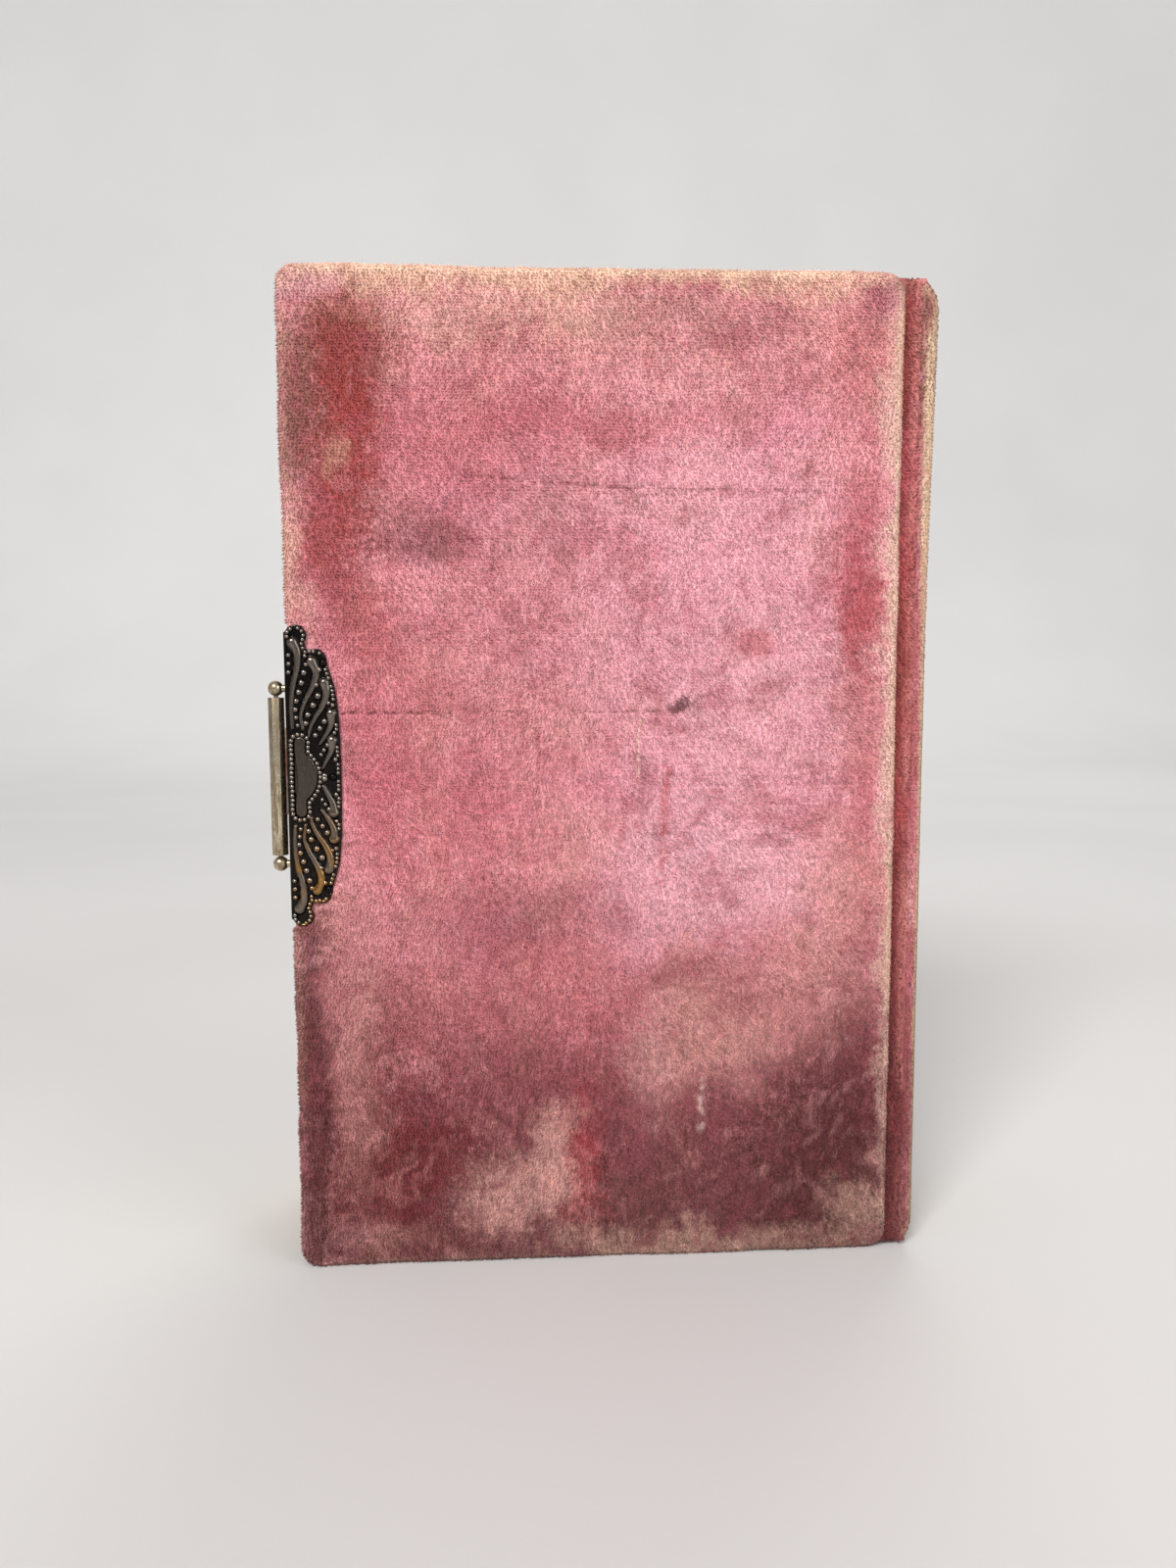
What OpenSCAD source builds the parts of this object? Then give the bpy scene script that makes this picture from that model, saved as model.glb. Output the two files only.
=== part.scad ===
// Plush-covered photograph album with a metal clasp, standing on its tail.
// X runs from the fore-edge to the spine, Y from the rear cover to the front cover, Z up.
// The origin is at the middle of the footprint, on the surface that the album stands on.

/* [Covers] */
// Height of a cover with its plush, head to tail
cover_h = 264; // [200:1:320]
// Width of a cover with its plush, fore-edge to hinge groove
cover_w = 161.4; // [120:0.1:220]
// Corner radius of a cover, seen from the front
cover_corner_r = 5; // [4:0.5:12]
// Thickness of the card inside a cover
card_t = 3.4; // [2.6:0.1:6]
// Thickness of the paper pasted inside a cover
paper_t = 0.4; // [0.2:0.05:0.6]
// Width of plush left bare around the pasted paper
paper_margin = 5; // [3:0.5:10]

/* [Plush] */
// Thickness of the plush and its backing cloth
plush_t = 1.1; // [0.8:0.1:1.6]
// Radius to which the plush rounds a cover's edges
plush_edge_r = 2; // [1.2:0.1:2.2]
// Thickness of the plush where it is turned in on the inner face
turn_in_t = 0.7; // [0.5:0.1:1]
// Width of the plush turned in on the inner face
turn_in_w = 14; // [11:0.5:25]

/* [Spine and grooves] */
// Width of the hinge groove between a cover and the spine
groove_w = 4.2; // [3:0.1:8]
// Depth of the groove below the cover's outer face, to the top of its cloth
groove_depth = 2.7; // [2:0.1:3]
// Thickness of the stiffener inside the spine
spine_card_t = 2.2; // [1.4:0.1:3.4]
// How far the spine ends short of the covers, at the head and at the tail
spine_drop = 1; // [0.5:0.1:5]
// Radius of the spine's outer corners at the head and the tail
spine_corner_r = 7; // [5:0.5:10]
// How far the spine's shoulders stay below the covers' outer faces
shoulder_drop = 0.4; // [0.2:0.1:1]
// Thickness of the cloth that lines the back of the page block
lining_t = 0.8; // [0.4:0.1:1.2]

/* [Page block] */
// Number of card leaves
leaf_n = 17; // [10:1:26]
// Thickness of one leaf
leaf_t = 2.25; // [1.4:0.05:3]
// Gap between two leaves at the gilt edges
leaf_gap = 0.35; // [0.2:0.05:0.8]
// Depth to which the leaves stand apart
leaf_slit = 5; // [2:0.5:12]
// How far the covers stand out past the leaves at the fore-edge
square_fore = 4; // [2:0.5:8]
// How far the covers stand out past the leaves at the head and the tail
square_head = 3.5; // [2:0.5:8]
// Gap between the page block and a closed cover
block_gap = 0.3; // [0.2:0.05:1]

/* [Clasp plates] */
// Height of a clasp plate
plate_h = 79.3; // [60:0.1:100]
// Width of a clasp plate on the cover
plate_w = 13.7; // [11:0.1:20]
// Thickness of the plate metal
plate_t = 0.5; // [0.4:0.05:0.8]
// Depth to which a plate wraps round the fore-edge
plate_wrap = 4.2; // [3.8:0.1:4.6]
// Height of the clasp's middle above the tail
clasp_z = 134.4; // [90:0.1:150]
// Height of the raised ornament
relief_h = 0.45; // [0.3:0.05:0.8]
// Radius of a lobe at its head
lobe_head_r = 0.9; // [0.6:0.05:1.1]
// Radius of a lobe at its tail
lobe_tail_r = 0.35; // [0.25:0.05:0.5]
// Radius of a bead
bead_r = 0.56; // [0.4:0.02:0.7]
// Radius of the scallops at the plate's ends
scallop_r = 2.9; // [2.2:0.1:3.2]
// Radius of a nail's domed head
nail_head_r = 1.05; // [0.9:0.05:1.3]
// Height of a nail's domed head
nail_head_h = 0.7; // [0.5:0.05:0.9]
// Radius of a nail's shank
nail_r = 0.5; // [0.4:0.05:0.6]
// Depth to which a nail enters the card
nail_depth = 2; // [1:0.1:2.2]

/* [Hasp] */
// Width across the flats of the eight-sided barrel
barrel_flats = 4; // [3.6:0.1:4.6]
// Length of the barrel
barrel_len = 41.5; // [30:0.5:50]
// Distance of the barrel's axis outside the fore-edge
barrel_out = 3.2; // [3.1:0.1:5]
// Depth of the barrel's axis below the cover's outer face
barrel_in = 2.6; // [2.4:0.1:3]
// Radius of the hinge pin
pin_r = 0.6; // [0.5:0.05:0.9]
// Running clearance round the hinge pin
pin_clear = 0.06; // [0.03:0.01:0.09]
// Radius of the ball finials
finial_r = 2; // [1.7:0.1:2.2]
// Gap between a finial and the barrel
finial_gap = 0.4; // [0.3:0.05:0.8]
// Radius of the lug that carries a finial
lug_r = 1; // [0.8:0.1:1.2]
// Thickness of the strap
strap_t = 0.9; // [0.7:0.05:1.1]
// Height of the strap at the barrel
strap_root_h = 24; // [20:0.5:28]
// Height of the strap at its free end
strap_tip_h = 16; // [15:0.5:19]
// Length of the strap past the middle of its slot
strap_past = 4.5; // [4:0.1:8]
// Radius of the rolled lip at the strap's free end
lip_r = 0.9; // [0.7:0.05:1.2]
// Angle by which the hasp stands off its catch
rest_angle = 3.5; // [3.5:0.1:8]

/* [Catch] */
// Height of the catch's nib along the fore-edge
nib_h = 8; // [6:0.5:10]
// Thickness of the nib
nib_t = 1.6; // [1.2:0.1:2]
// How far the nib stands out past the latched strap
nib_past = 0.5; // [0.3:0.1:0.6]
// Clearance of the slot all round the nib
slot_clear = 0.45; // [0.35:0.05:0.8]
// Height of the catch's foot
foot_h = 17; // [16:0.5:24]
// Width of the catch's foot
foot_w = 2.4; // [2.2:0.1:2.6]
// Thickness of the catch's foot
foot_t = 0.6; // [0.4:0.05:0.8]
// Distance of the catch's rivets from the ends of its foot
rivet_inset = 2; // [1.5:0.1:3]
// Radius of the catch's rivets
rivet_r = 0.45; // [0.35:0.05:0.55]
// Depth to which the rivets enter the card's edge
rivet_depth = 3; // [2:0.5:6]

/* [Hidden] */
$fn = 48;

plush_colour = "#b5646c";
card_colour = "#9a8a70";
paper_colour = "#e2d8c2";
leaf_colour = "#c9a65a";
cloth_colour = "#d8cdb6";
plate_colour = "#4a4039";
barrel_colour = "#a89a80";

// A hair of overlap where one cut has to pass a face
eps = 0.01;
// Gap between the two halves of the cloth in a groove
cloth_split = 0.2;
// How far a hinge's axis lies outside the covers' outer face
hinge_out = 0.3;
// Play of a nail, rivet or pin in the hole that holds it
shank_play = 0.02;
// Distance of the strap's middle plane outside the barrel's axis
strap_off = 0.25;
// Clearance of the pin's ends in the finials
pin_end_play = 0.2;
// Points along each side of a lobe
lobe_steps = 9;
// Least height of a bead's underside above the plush
bead_lift = 0.02;

shell_t = plush_t + card_t + turn_in_t;
edge_r = min(plush_edge_r, shell_t / 2 - 0.2);
block_t = leaf_n * leaf_t + (leaf_n - 1) * leaf_gap;
album_t = block_t + 2 * (block_gap + paper_t + shell_t);
shoulder_w = 2 * plush_t + spine_card_t;
shoulder_x = cover_w + groove_w;
spine_x = shoulder_x + shoulder_w;
spine_card_x = shoulder_x + plush_t;
block_back = spine_card_x - lining_t;
hinge_x = cover_w + groove_w / 2;
card_corner_r = cover_corner_r - plush_t;

barrel_r = barrel_flats / 2 / cos(22.5);
finial_z = barrel_len / 2 + finial_gap + finial_r;
pin_len = 2 * (finial_z + pin_end_play);
catch_in = barrel_in;
slot_reach = album_t - barrel_in - catch_in;
strap_len = slot_reach + strap_past;
rivet_z = foot_h / 2 - rivet_inset;
nib_top = barrel_out + strap_off + strap_t / 2 + nib_past;

// The album is widest from the hasp's free end to the spine
hasp_end_x = -barrel_out - strap_len * sin(rest_angle) - strap_off * cos(rest_angle) - lip_r;
mid_x = (spine_x + hasp_end_x) / 2;

// Nails in the plate, as shares of its width and of half its height
nail_places = [[0.71, 0.75], [0.84, 0], [0.71, -0.75]];
// Scallops along the plate's upper half, in the same shares
scallops = [[0.2, 0.925], [0.56, 0.77]];
// The plate's edge from its upper end to its middle, in the same shares
plate_edge = [
    [0, 0.95], [0.36, 0.9], [0.4, 0.84], [0.72, 0.8], [0.82, 0.7], [0.93, 0.57], [0.98, 0.39], [1, 0.1]
];
// Centre lines of the five lobes of the upper half, head to tail, in the same shares
lobe_paths = [
    [[0.155, 0.885], [0.38, 0.744], [-0.03, 0.53], [0.11, 0.33]],
    [[0.497, 0.752], [0.775, 0.655], [0.117, 0.492], [0.305, 0.323]],
    [[0.737, 0.613], [0.965, 0.517], [0.38, 0.416], [0.416, 0.277]],
    [[0.84, 0.411], [0.92, 0.328], [0.7, 0.29], [0.606, 0.227]],
    [[0.84, 0.24], [0.905, 0.161], [0.723, 0.126], [0.65, 0.075]]
];
// Places of the beads along the lines between two lobes
bead_steps = [0.16, 0.36, 0.56, 0.76];

function on_plate(share) = [share.x * plate_w, share.y * plate_h / 2];
function bezier(p, t) =
    pow(1 - t, 3) * p[0] + 3 * pow(1 - t, 2) * t * p[1] + 3 * (1 - t) * t * t * p[2] + pow(t, 3) * p[3];
function slope(p, t) =
    3 * pow(1 - t, 2) * (p[1] - p[0]) + 6 * (1 - t) * t * (p[2] - p[1]) + 3 * t * t * (p[3] - p[2]);
function side(p, t, r) = let (d = slope(p, t)) bezier(p, t) + r * [d.y, -d.x] / norm(d);
function lobe_r(t) = lobe_head_r + (lobe_tail_r - lobe_head_r) * t;
function path_mm(share_path) = [for (q = share_path) on_plate(q)];

// Places a child built on a cover: X from the fore-edge, Y inwards from the outer face
module rear() {
    translate([-mid_x, -album_t / 2, 0])
        children();
}

module front() {
    mirror([0, 1, 0])
        rear()
            children();
}

// Places a child built on the album's middle plane
module middle() {
    translate([-mid_x, 0, 0])
        children();
}

// Extrudes a shape drawn in X and Z outwards from a cover's outer face
module outwards(h) {
    rotate([90, 0, 0])
        linear_extrude(h)
            children();
}

module rounded_rect(w, h, r) {
    translate([r, 0])
        square([w - 2 * r, h]);
    translate([0, r])
        square([w, h - 2 * r]);
    for (x = [r, w - r], y = [r, h - r])
        translate([x, y])
            circle(r);
}

// A slab in a cover's place, inset from the cover's outline, between two depths
module sheet(inset, from_y, to_y, r) {
    translate([inset, to_y, inset])
        outwards(to_y - from_y)
            rounded_rect(cover_w - 2 * inset, cover_h - 2 * inset, r);
}

// The covers' soft outer form: three rounded outlines crossed
module soft_cover() {
    intersection() {
        sheet(0, 0, shell_t, cover_corner_r);
        linear_extrude(cover_h)
            rounded_rect(cover_w, shell_t, edge_r);
        rotate([90, 0, 90])
            linear_extrude(cover_w)
                rounded_rect(shell_t, cover_h, edge_r);
    }
}

// Holes of the nails and rivets, bored inwards through whatever lies there
module nail_holes() {
    for (p = nail_places)
        translate([p.x * plate_w, -plate_t - eps, clasp_z + p.y * plate_h / 2])
            rotate([-90, 0, 0])
                cylinder(r = nail_r + shank_play, h = plate_t + plush_t + nail_depth + shank_play);
}

module rivet_holes() {
    for (s = [-1, 1])
        translate([-plate_t - foot_t - eps, catch_in, clasp_z + s * rivet_z])
            rotate([0, 90, 0])
                cylinder(r = rivet_r + shank_play, h = plate_t + foot_t + plush_t + rivet_depth);
}

module cover_card() {
    color(card_colour)
        sheet(plush_t, plush_t, plush_t + card_t, card_corner_r);
}

module cover_plush() {
    color(plush_colour) {
        difference() {
            soft_cover();
            sheet(plush_t, plush_t, plush_t + card_t, card_corner_r);
            sheet(turn_in_w, plush_t + card_t - eps, shell_t + eps, card_corner_r);
        }
        translate([cover_w - plush_t, groove_depth, spine_drop])
            cube([plush_t + (groove_w - cloth_split) / 2, plush_t, cover_h - 2 * spine_drop]);
    }
}

// The pasted paper dips from the turned-in plush down to the card
module cover_paper() {
    color(paper_colour)
        difference() {
            union() {
                sheet(paper_margin, shell_t, shell_t + paper_t, card_corner_r);
                sheet(turn_in_w, plush_t + card_t, shell_t + eps, card_corner_r);
            }
            sheet(turn_in_w + paper_t, plush_t + card_t + paper_t, shell_t + paper_t + eps, card_corner_r);
        }
}

module page_block() {
    color(leaf_colour)
        middle()
            translate([square_fore, -block_t / 2, square_head]) {
                block_w = block_back - square_fore;
                block_h = cover_h - 2 * square_head;
                for (i = [0 : leaf_n - 1])
                    translate([0, i * (leaf_t + leaf_gap), 0])
                        cube([block_w, leaf_t, block_h]);
                translate([leaf_slit, leaf_t / 2, leaf_slit])
                    cube([block_w - leaf_slit, block_t - leaf_t, block_h - 2 * leaf_slit]);
            }
}

module spine_lining() {
    color(cloth_colour)
        middle()
            translate([block_back, -block_t / 2, square_head + leaf_slit])
                cube([lining_t, block_t, cover_h - 2 * (square_head + leaf_slit)]);
}

// The spine's outline in X and Z, between two Y planes, with its outer corners rounded
module spine_outline(inset, half_y) {
    r = spine_corner_r - inset;
    top = cover_h - spine_drop - inset;
    bottom = spine_drop + inset;
    right = spine_x - inset;
    translate([0, half_y, 0])
        outwards(2 * half_y) {
            translate([cover_w, bottom])
                square([right - r - cover_w, top - bottom]);
            translate([cover_w, bottom + r])
                square([right - cover_w, top - bottom - 2 * r]);
            for (z = [bottom + r, top - r])
                intersection() {
                    translate([right - r, z])
                        circle(r);
                    translate([cover_w, bottom])
                        square([right - cover_w, top - bottom]);
                }
        }
}

module spine_card_body() {
    half_y = album_t / 2 - shoulder_drop - plush_t;
    intersection() {
        spine_outline(plush_t, half_y);
        translate([spine_card_x, -half_y, 0])
            cube([spine_card_t, 2 * half_y, cover_h]);
    }
}

module spine_card() {
    color(card_colour)
        middle()
            spine_card_body();
}

module spine_plush() {
    half_y = album_t / 2 - shoulder_drop;
    cloth_y = album_t / 2 - groove_depth;
    color(plush_colour)
        middle()
            difference() {
                intersection() {
                    spine_outline(0, half_y);
                    linear_extrude(cover_h)
                        union() {
                            translate([shoulder_x, -half_y])
                                rounded_rect(shoulder_w, 2 * half_y, min(edge_r, shoulder_w / 2 - 0.1));
                            for (y = [cloth_y - plush_t, -cloth_y])
                                translate([hinge_x + cloth_split / 2, y])
                                    square([groove_w / 2 + plush_t, plush_t]);
                        }
                }
                spine_card_body();
                translate([shoulder_x - eps, -cloth_y + plush_t, 0])
                    cube([plush_t + eps, 2 * (cloth_y - plush_t), cover_h]);
            }
}

// A lobe of the ornament: a round head that narrows along its path
module lobe(p) {
    left = [for (i = [0 : lobe_steps]) side(p, i / lobe_steps, lobe_r(i / lobe_steps))];
    right = [for (i = [lobe_steps : -1 : 0]) side(p, i / lobe_steps, -lobe_r(i / lobe_steps))];
    polygon(concat(left, right));
    translate(p[0])
        circle(lobe_head_r);
    translate(p[3])
        circle(lobe_tail_r);
}

module medallion() {
    end_r = 0.11 * plate_w;
    half_h = 0.267 * plate_h / 2;
    left = 0.12 * plate_w;
    belly_r = 0.19 * plate_h / 2;
    for (s = [-1, 1])
        translate([left + end_r, s * (half_h - end_r)])
            circle(end_r);
    translate([left, -half_h + end_r])
        square([2 * end_r, 2 * (half_h - end_r)]);
    intersection() {
        translate([0.56 * plate_w - belly_r, 0])
            circle(belly_r);
        translate([left, -belly_r])
            square([plate_w, 2 * belly_r]);
    }
}

module plate_outline() {
    upper = [for (q = plate_edge) on_plate(q)];
    lower = [for (i = [len(plate_edge) - 1 : -1 : 0]) on_plate([plate_edge[i].x, -plate_edge[i].y])];
    difference() {
        union() {
            polygon(concat(upper, lower));
            translate([-plate_t - eps, -0.95 * plate_h / 2])
                square([plate_t + 2 * eps, 0.95 * plate_h]);
            for (q = scallops, s = [-1, 1])
                translate(on_plate([q.x, s * q.y]))
                    circle(scallop_r);
        }
        translate([-2 * plate_w - plate_t, -plate_h])
            square([2 * plate_w, 2 * plate_h]);
    }
}

// The plate is pressed sheet, bent round the fore-edge of its cover
module clasp_plate() {
    color(plate_colour)
        difference() {
            union() {
                intersection() {
                    translate([-plate_t, -plate_t, clasp_z - plate_h])
                        linear_extrude(2 * plate_h)
                            difference() {
                                rounded_rect(4 * plate_w, plate_wrap + 3 * plate_w, edge_r + plate_t);
                                translate([plate_t, plate_t])
                                    rounded_rect(4 * plate_w, 4 * plate_w, edge_r);
                                translate([-eps, plate_t + plate_wrap])
                                    square([4 * plate_w, 4 * plate_w]);
                            }
                    translate([0, plate_wrap + eps, clasp_z])
                        outwards(plate_t + plate_wrap + 2 * eps)
                            plate_outline();
                }
                translate([0, -plate_t + eps, clasp_z])
                    outwards(relief_h + eps) {
                        medallion();
                        for (path = lobe_paths) {
                            lobe(path_mm(path));
                            mirror([0, 1])
                                lobe(path_mm(path));
                        }
                    }
                beads();
            }
            nail_holes();
        }
}

// Beads follow the middle lines between two lobes
module beads() {
    for (i = [0 : len(lobe_paths) - 2], t = bead_steps, s = [-1, 1]) {
        middle_line = (path_mm(lobe_paths[i]) + path_mm(lobe_paths[i + 1])) / 2;
        place = bezier(middle_line, t);
        translate([place.x, -max(plate_t, bead_r + bead_lift), clasp_z + s * place.y])
            sphere(bead_r);
    }
}

// A nail's domed head, on the plate, and its shank
module clasp_nails() {
    dome_r = (nail_head_r * nail_head_r + nail_head_h * nail_head_h) / 2 / nail_head_h;
    color(plate_colour)
        for (p = nail_places)
            translate([p.x * plate_w, -plate_t, clasp_z + p.y * plate_h / 2])
                rotate([90, 0, 0]) {
                    rotate_extrude()
                        intersection() {
                            translate([0, nail_head_h - dome_r])
                                circle(dome_r);
                            square([nail_head_r, nail_head_h]);
                        }
                    translate([0, 0, -plate_t - plush_t - nail_depth + shank_play])
                        cylinder(r = nail_r, h = plate_t + plush_t + nail_depth);
                }
}

// Places a child built on the barrel's axis, at the height of the clasp's middle
module on_barrel() {
    rear()
        translate([-barrel_out, barrel_in, clasp_z])
            children();
}

module hinge_pin() {
    color(barrel_colour)
        on_barrel()
            cylinder(r = pin_r, h = pin_len, center = true);
}

// A ball with the lug that joins it to the plate, bored blind for the pin's end
module finial(s) {
    color(barrel_colour)
        on_barrel()
            difference() {
                translate([0, 0, s * finial_z]) {
                    sphere(finial_r);
                    rotate([0, 90, 0])
                        cylinder(r = lug_r, h = barrel_out - plate_t);
                }
                cylinder(r = pin_r + shank_play, h = pin_len + pin_end_play, center = true);
            }
}

module upper_finial() {
    finial(1);
}

module lower_finial() {
    finial(-1);
}

// The strap seen from the side, along Y and Z, with the slot for the nib
module strap_outline() {
    difference() {
        polygon([
            [0, -strap_root_h / 2],
            [0.3 * strap_len, -strap_root_h / 2],
            [0.6 * strap_len, -strap_tip_h / 2],
            [strap_len, -strap_tip_h / 2],
            [strap_len, strap_tip_h / 2],
            [0.6 * strap_len, strap_tip_h / 2],
            [0.3 * strap_len, strap_root_h / 2],
            [0, strap_root_h / 2]
        ]);
        translate([slot_reach - nib_t / 2 - slot_clear, -nib_h / 2 - slot_clear])
            square([nib_t + 2 * slot_clear, nib_h + 2 * slot_clear]);
    }
}

// An eight-sided barrel and a strap with a slot near its rolled lip
module hasp() {
    color(barrel_colour)
        on_barrel()
            rotate([0, 0, rest_angle])
                difference() {
                    union() {
                        rotate([0, 0, 22.5])
                            cylinder(r = barrel_r, h = barrel_len, center = true, $fn = 8);
                        translate([-strap_off - strap_t / 2, 0, 0])
                            rotate([90, 0, 90])
                                linear_extrude(strap_t)
                                    strap_outline();
                        translate([-strap_off, strap_len, 0])
                            cylinder(r = lip_r, h = strap_tip_h, center = true);
                    }
                    cylinder(r = pin_r + pin_clear, h = barrel_len + 1, center = true);
                }
}

module catch() {
    color(barrel_colour)
        front()
            difference() {
                translate([-plate_t, catch_in, clasp_z]) {
                    translate([-foot_t, -foot_w / 2, -foot_h / 2])
                        cube([foot_t, foot_w, foot_h]);
                    translate([plate_t - nib_top, -nib_t / 2, -nib_h / 2])
                        cube([nib_top - plate_t - foot_t + eps, nib_t, nib_h]);
                }
                rivet_holes();
            }
}

module catch_rivets() {
    color(barrel_colour)
        front()
            for (s = [-1, 1])
                translate([-plate_t - foot_t, catch_in, clasp_z + s * rivet_z])
                    rotate([0, 90, 0]) {
                        rotate_extrude()
                            intersection() {
                                circle(2 * rivet_r);
                                translate([0, -rivet_r])
                                    square([2 * rivet_r, rivet_r]);
                            }
                        cylinder(r = rivet_r, h = plate_t + foot_t + plush_t + rivet_depth - shank_play);
                    }
}

module rear_card() {
    rear()
        difference() {
            cover_card();
            nail_holes();
        }
}

module rear_plush() {
    rear()
        difference() {
            cover_plush();
            nail_holes();
        }
}

module rear_paper() {
    rear()
        cover_paper();
}

module rear_clasp_plate() {
    rear()
        clasp_plate();
}

module rear_clasp_nails() {
    rear()
        clasp_nails();
}

module front_card() {
    front()
        difference() {
            cover_card();
            nail_holes();
            rivet_holes();
        }
}

module front_plush() {
    front()
        difference() {
            cover_plush();
            nail_holes();
            rivet_holes();
        }
}

module front_paper() {
    front()
        cover_paper();
}

module front_clasp_plate() {
    front()
        difference() {
            clasp_plate();
            rivet_holes();
        }
}

module front_clasp_nails() {
    front()
        clasp_nails();
}

page_block();
spine_lining();
spine_card();
spine_plush();
rear_card();
rear_plush();
rear_paper();
rear_clasp_plate();
rear_clasp_nails();
hinge_pin();
upper_finial();
lower_finial();
front_card();
front_plush();
front_paper();
front_clasp_plate();
front_clasp_nails();
catch();
catch_rivets();
hasp();
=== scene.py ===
"""A plush-covered photograph album with a metal clasp, standing on its tail."""
import math

import bpy
import numpy as np
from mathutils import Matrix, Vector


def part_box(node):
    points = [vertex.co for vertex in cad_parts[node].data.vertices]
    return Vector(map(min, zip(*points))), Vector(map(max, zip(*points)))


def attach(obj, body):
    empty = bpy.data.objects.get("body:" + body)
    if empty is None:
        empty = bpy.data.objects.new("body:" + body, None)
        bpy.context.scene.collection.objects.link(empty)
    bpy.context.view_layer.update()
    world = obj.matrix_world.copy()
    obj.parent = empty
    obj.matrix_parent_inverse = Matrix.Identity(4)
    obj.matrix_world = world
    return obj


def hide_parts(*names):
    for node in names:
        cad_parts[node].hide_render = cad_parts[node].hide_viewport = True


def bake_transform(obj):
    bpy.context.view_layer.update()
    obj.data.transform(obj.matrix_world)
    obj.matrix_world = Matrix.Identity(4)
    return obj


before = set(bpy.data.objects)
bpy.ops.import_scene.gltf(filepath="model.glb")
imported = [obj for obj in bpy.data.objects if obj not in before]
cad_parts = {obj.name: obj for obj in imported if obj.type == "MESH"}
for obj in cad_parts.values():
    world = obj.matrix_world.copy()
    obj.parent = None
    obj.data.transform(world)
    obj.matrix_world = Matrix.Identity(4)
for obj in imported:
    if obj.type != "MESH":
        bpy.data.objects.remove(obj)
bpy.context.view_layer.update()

MM = 0.001

# Camera, solved from the rear cover's four corners in the photograph
CAMERA_AT = (-21.27 * MM, -338.25 * MM, 163.65 * MM)
CAMERA_PITCH = 5.836
CAMERA_YAW = 3.418
CAMERA_ROLL = 0.245
CAMERA_LENS = 27.045

camera_data = bpy.data.cameras.new("camera")
camera_data.lens = CAMERA_LENS
camera_data.clip_start = 0.01
camera = bpy.data.objects.new("camera", camera_data)
camera.location = CAMERA_AT
camera.rotation_euler = [math.radians(a) for a in (90 - CAMERA_PITCH, CAMERA_ROLL, -CAMERA_YAW)]
bpy.context.scene.collection.objects.link(camera)
bpy.context.scene.camera = camera
bpy.ops.object.select_all(action="DESELECT")

# Sizes of the album, in millimetres, from the frame
card_low, card_high = (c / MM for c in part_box("rear_card"))
plush_low, plush_high = (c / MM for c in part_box("rear_plush"))
spine_low, spine_high = (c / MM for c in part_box("spine_plush"))
spine_card_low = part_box("spine_card")[0] / MM
FORE_X = plush_low.x
REAR_Y = plush_low.y
PLUSH_T = card_low.x - plush_low.x
COVER_W = card_high.x + PLUSH_T - FORE_X
COVER_H = plush_high.z
SHELL_T = plush_high.y - plush_low.y
GROOVE_W = spine_card_low.x - PLUSH_T - FORE_X - COVER_W
SPINE_W = spine_high.x - FORE_X
SPINE_HALF_Y = spine_high.y
SPINE_DROP = spine_low.z
SHOULDER_X = COVER_W + GROOVE_W
COVER_CORNER = 5.0
EDGE_R = 2.0
TURN_IN = 10.0
SPINE_CORNER = 7.0
GROOVE_DEPTH = 2.7
LEAVES_HALF_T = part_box("page_block")[1].y / MM

# Lengths of the cloth round a cover's edge, and where it reaches the inner face
EDGE_ARC = EDGE_R * math.pi / 2
EDGE_SIDE = SHELL_T - 2 * EDGE_R
INNER_START = 2 * EDGE_ARC + EDGE_SIDE

# The clasp, in millimetres
PLATE_W = 13.7
PLATE_HALF_H = 39.65
PLATE_T = 0.5
CLASP_Z = 134.4
PLATE_WRAP = 4.2


def colour(red, green, blue):
    """A colour given as it looks on screen, 0 to 255, as linear red, green, blue and alpha."""
    linear = []
    for value in (red, green, blue):
        share = value / 255
        linear.append(share / 12.92 if share <= 0.04045 else ((share + 0.055) / 1.055) ** 2.4)
    return (*linear, 1.0)


# Shader nodes


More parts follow.
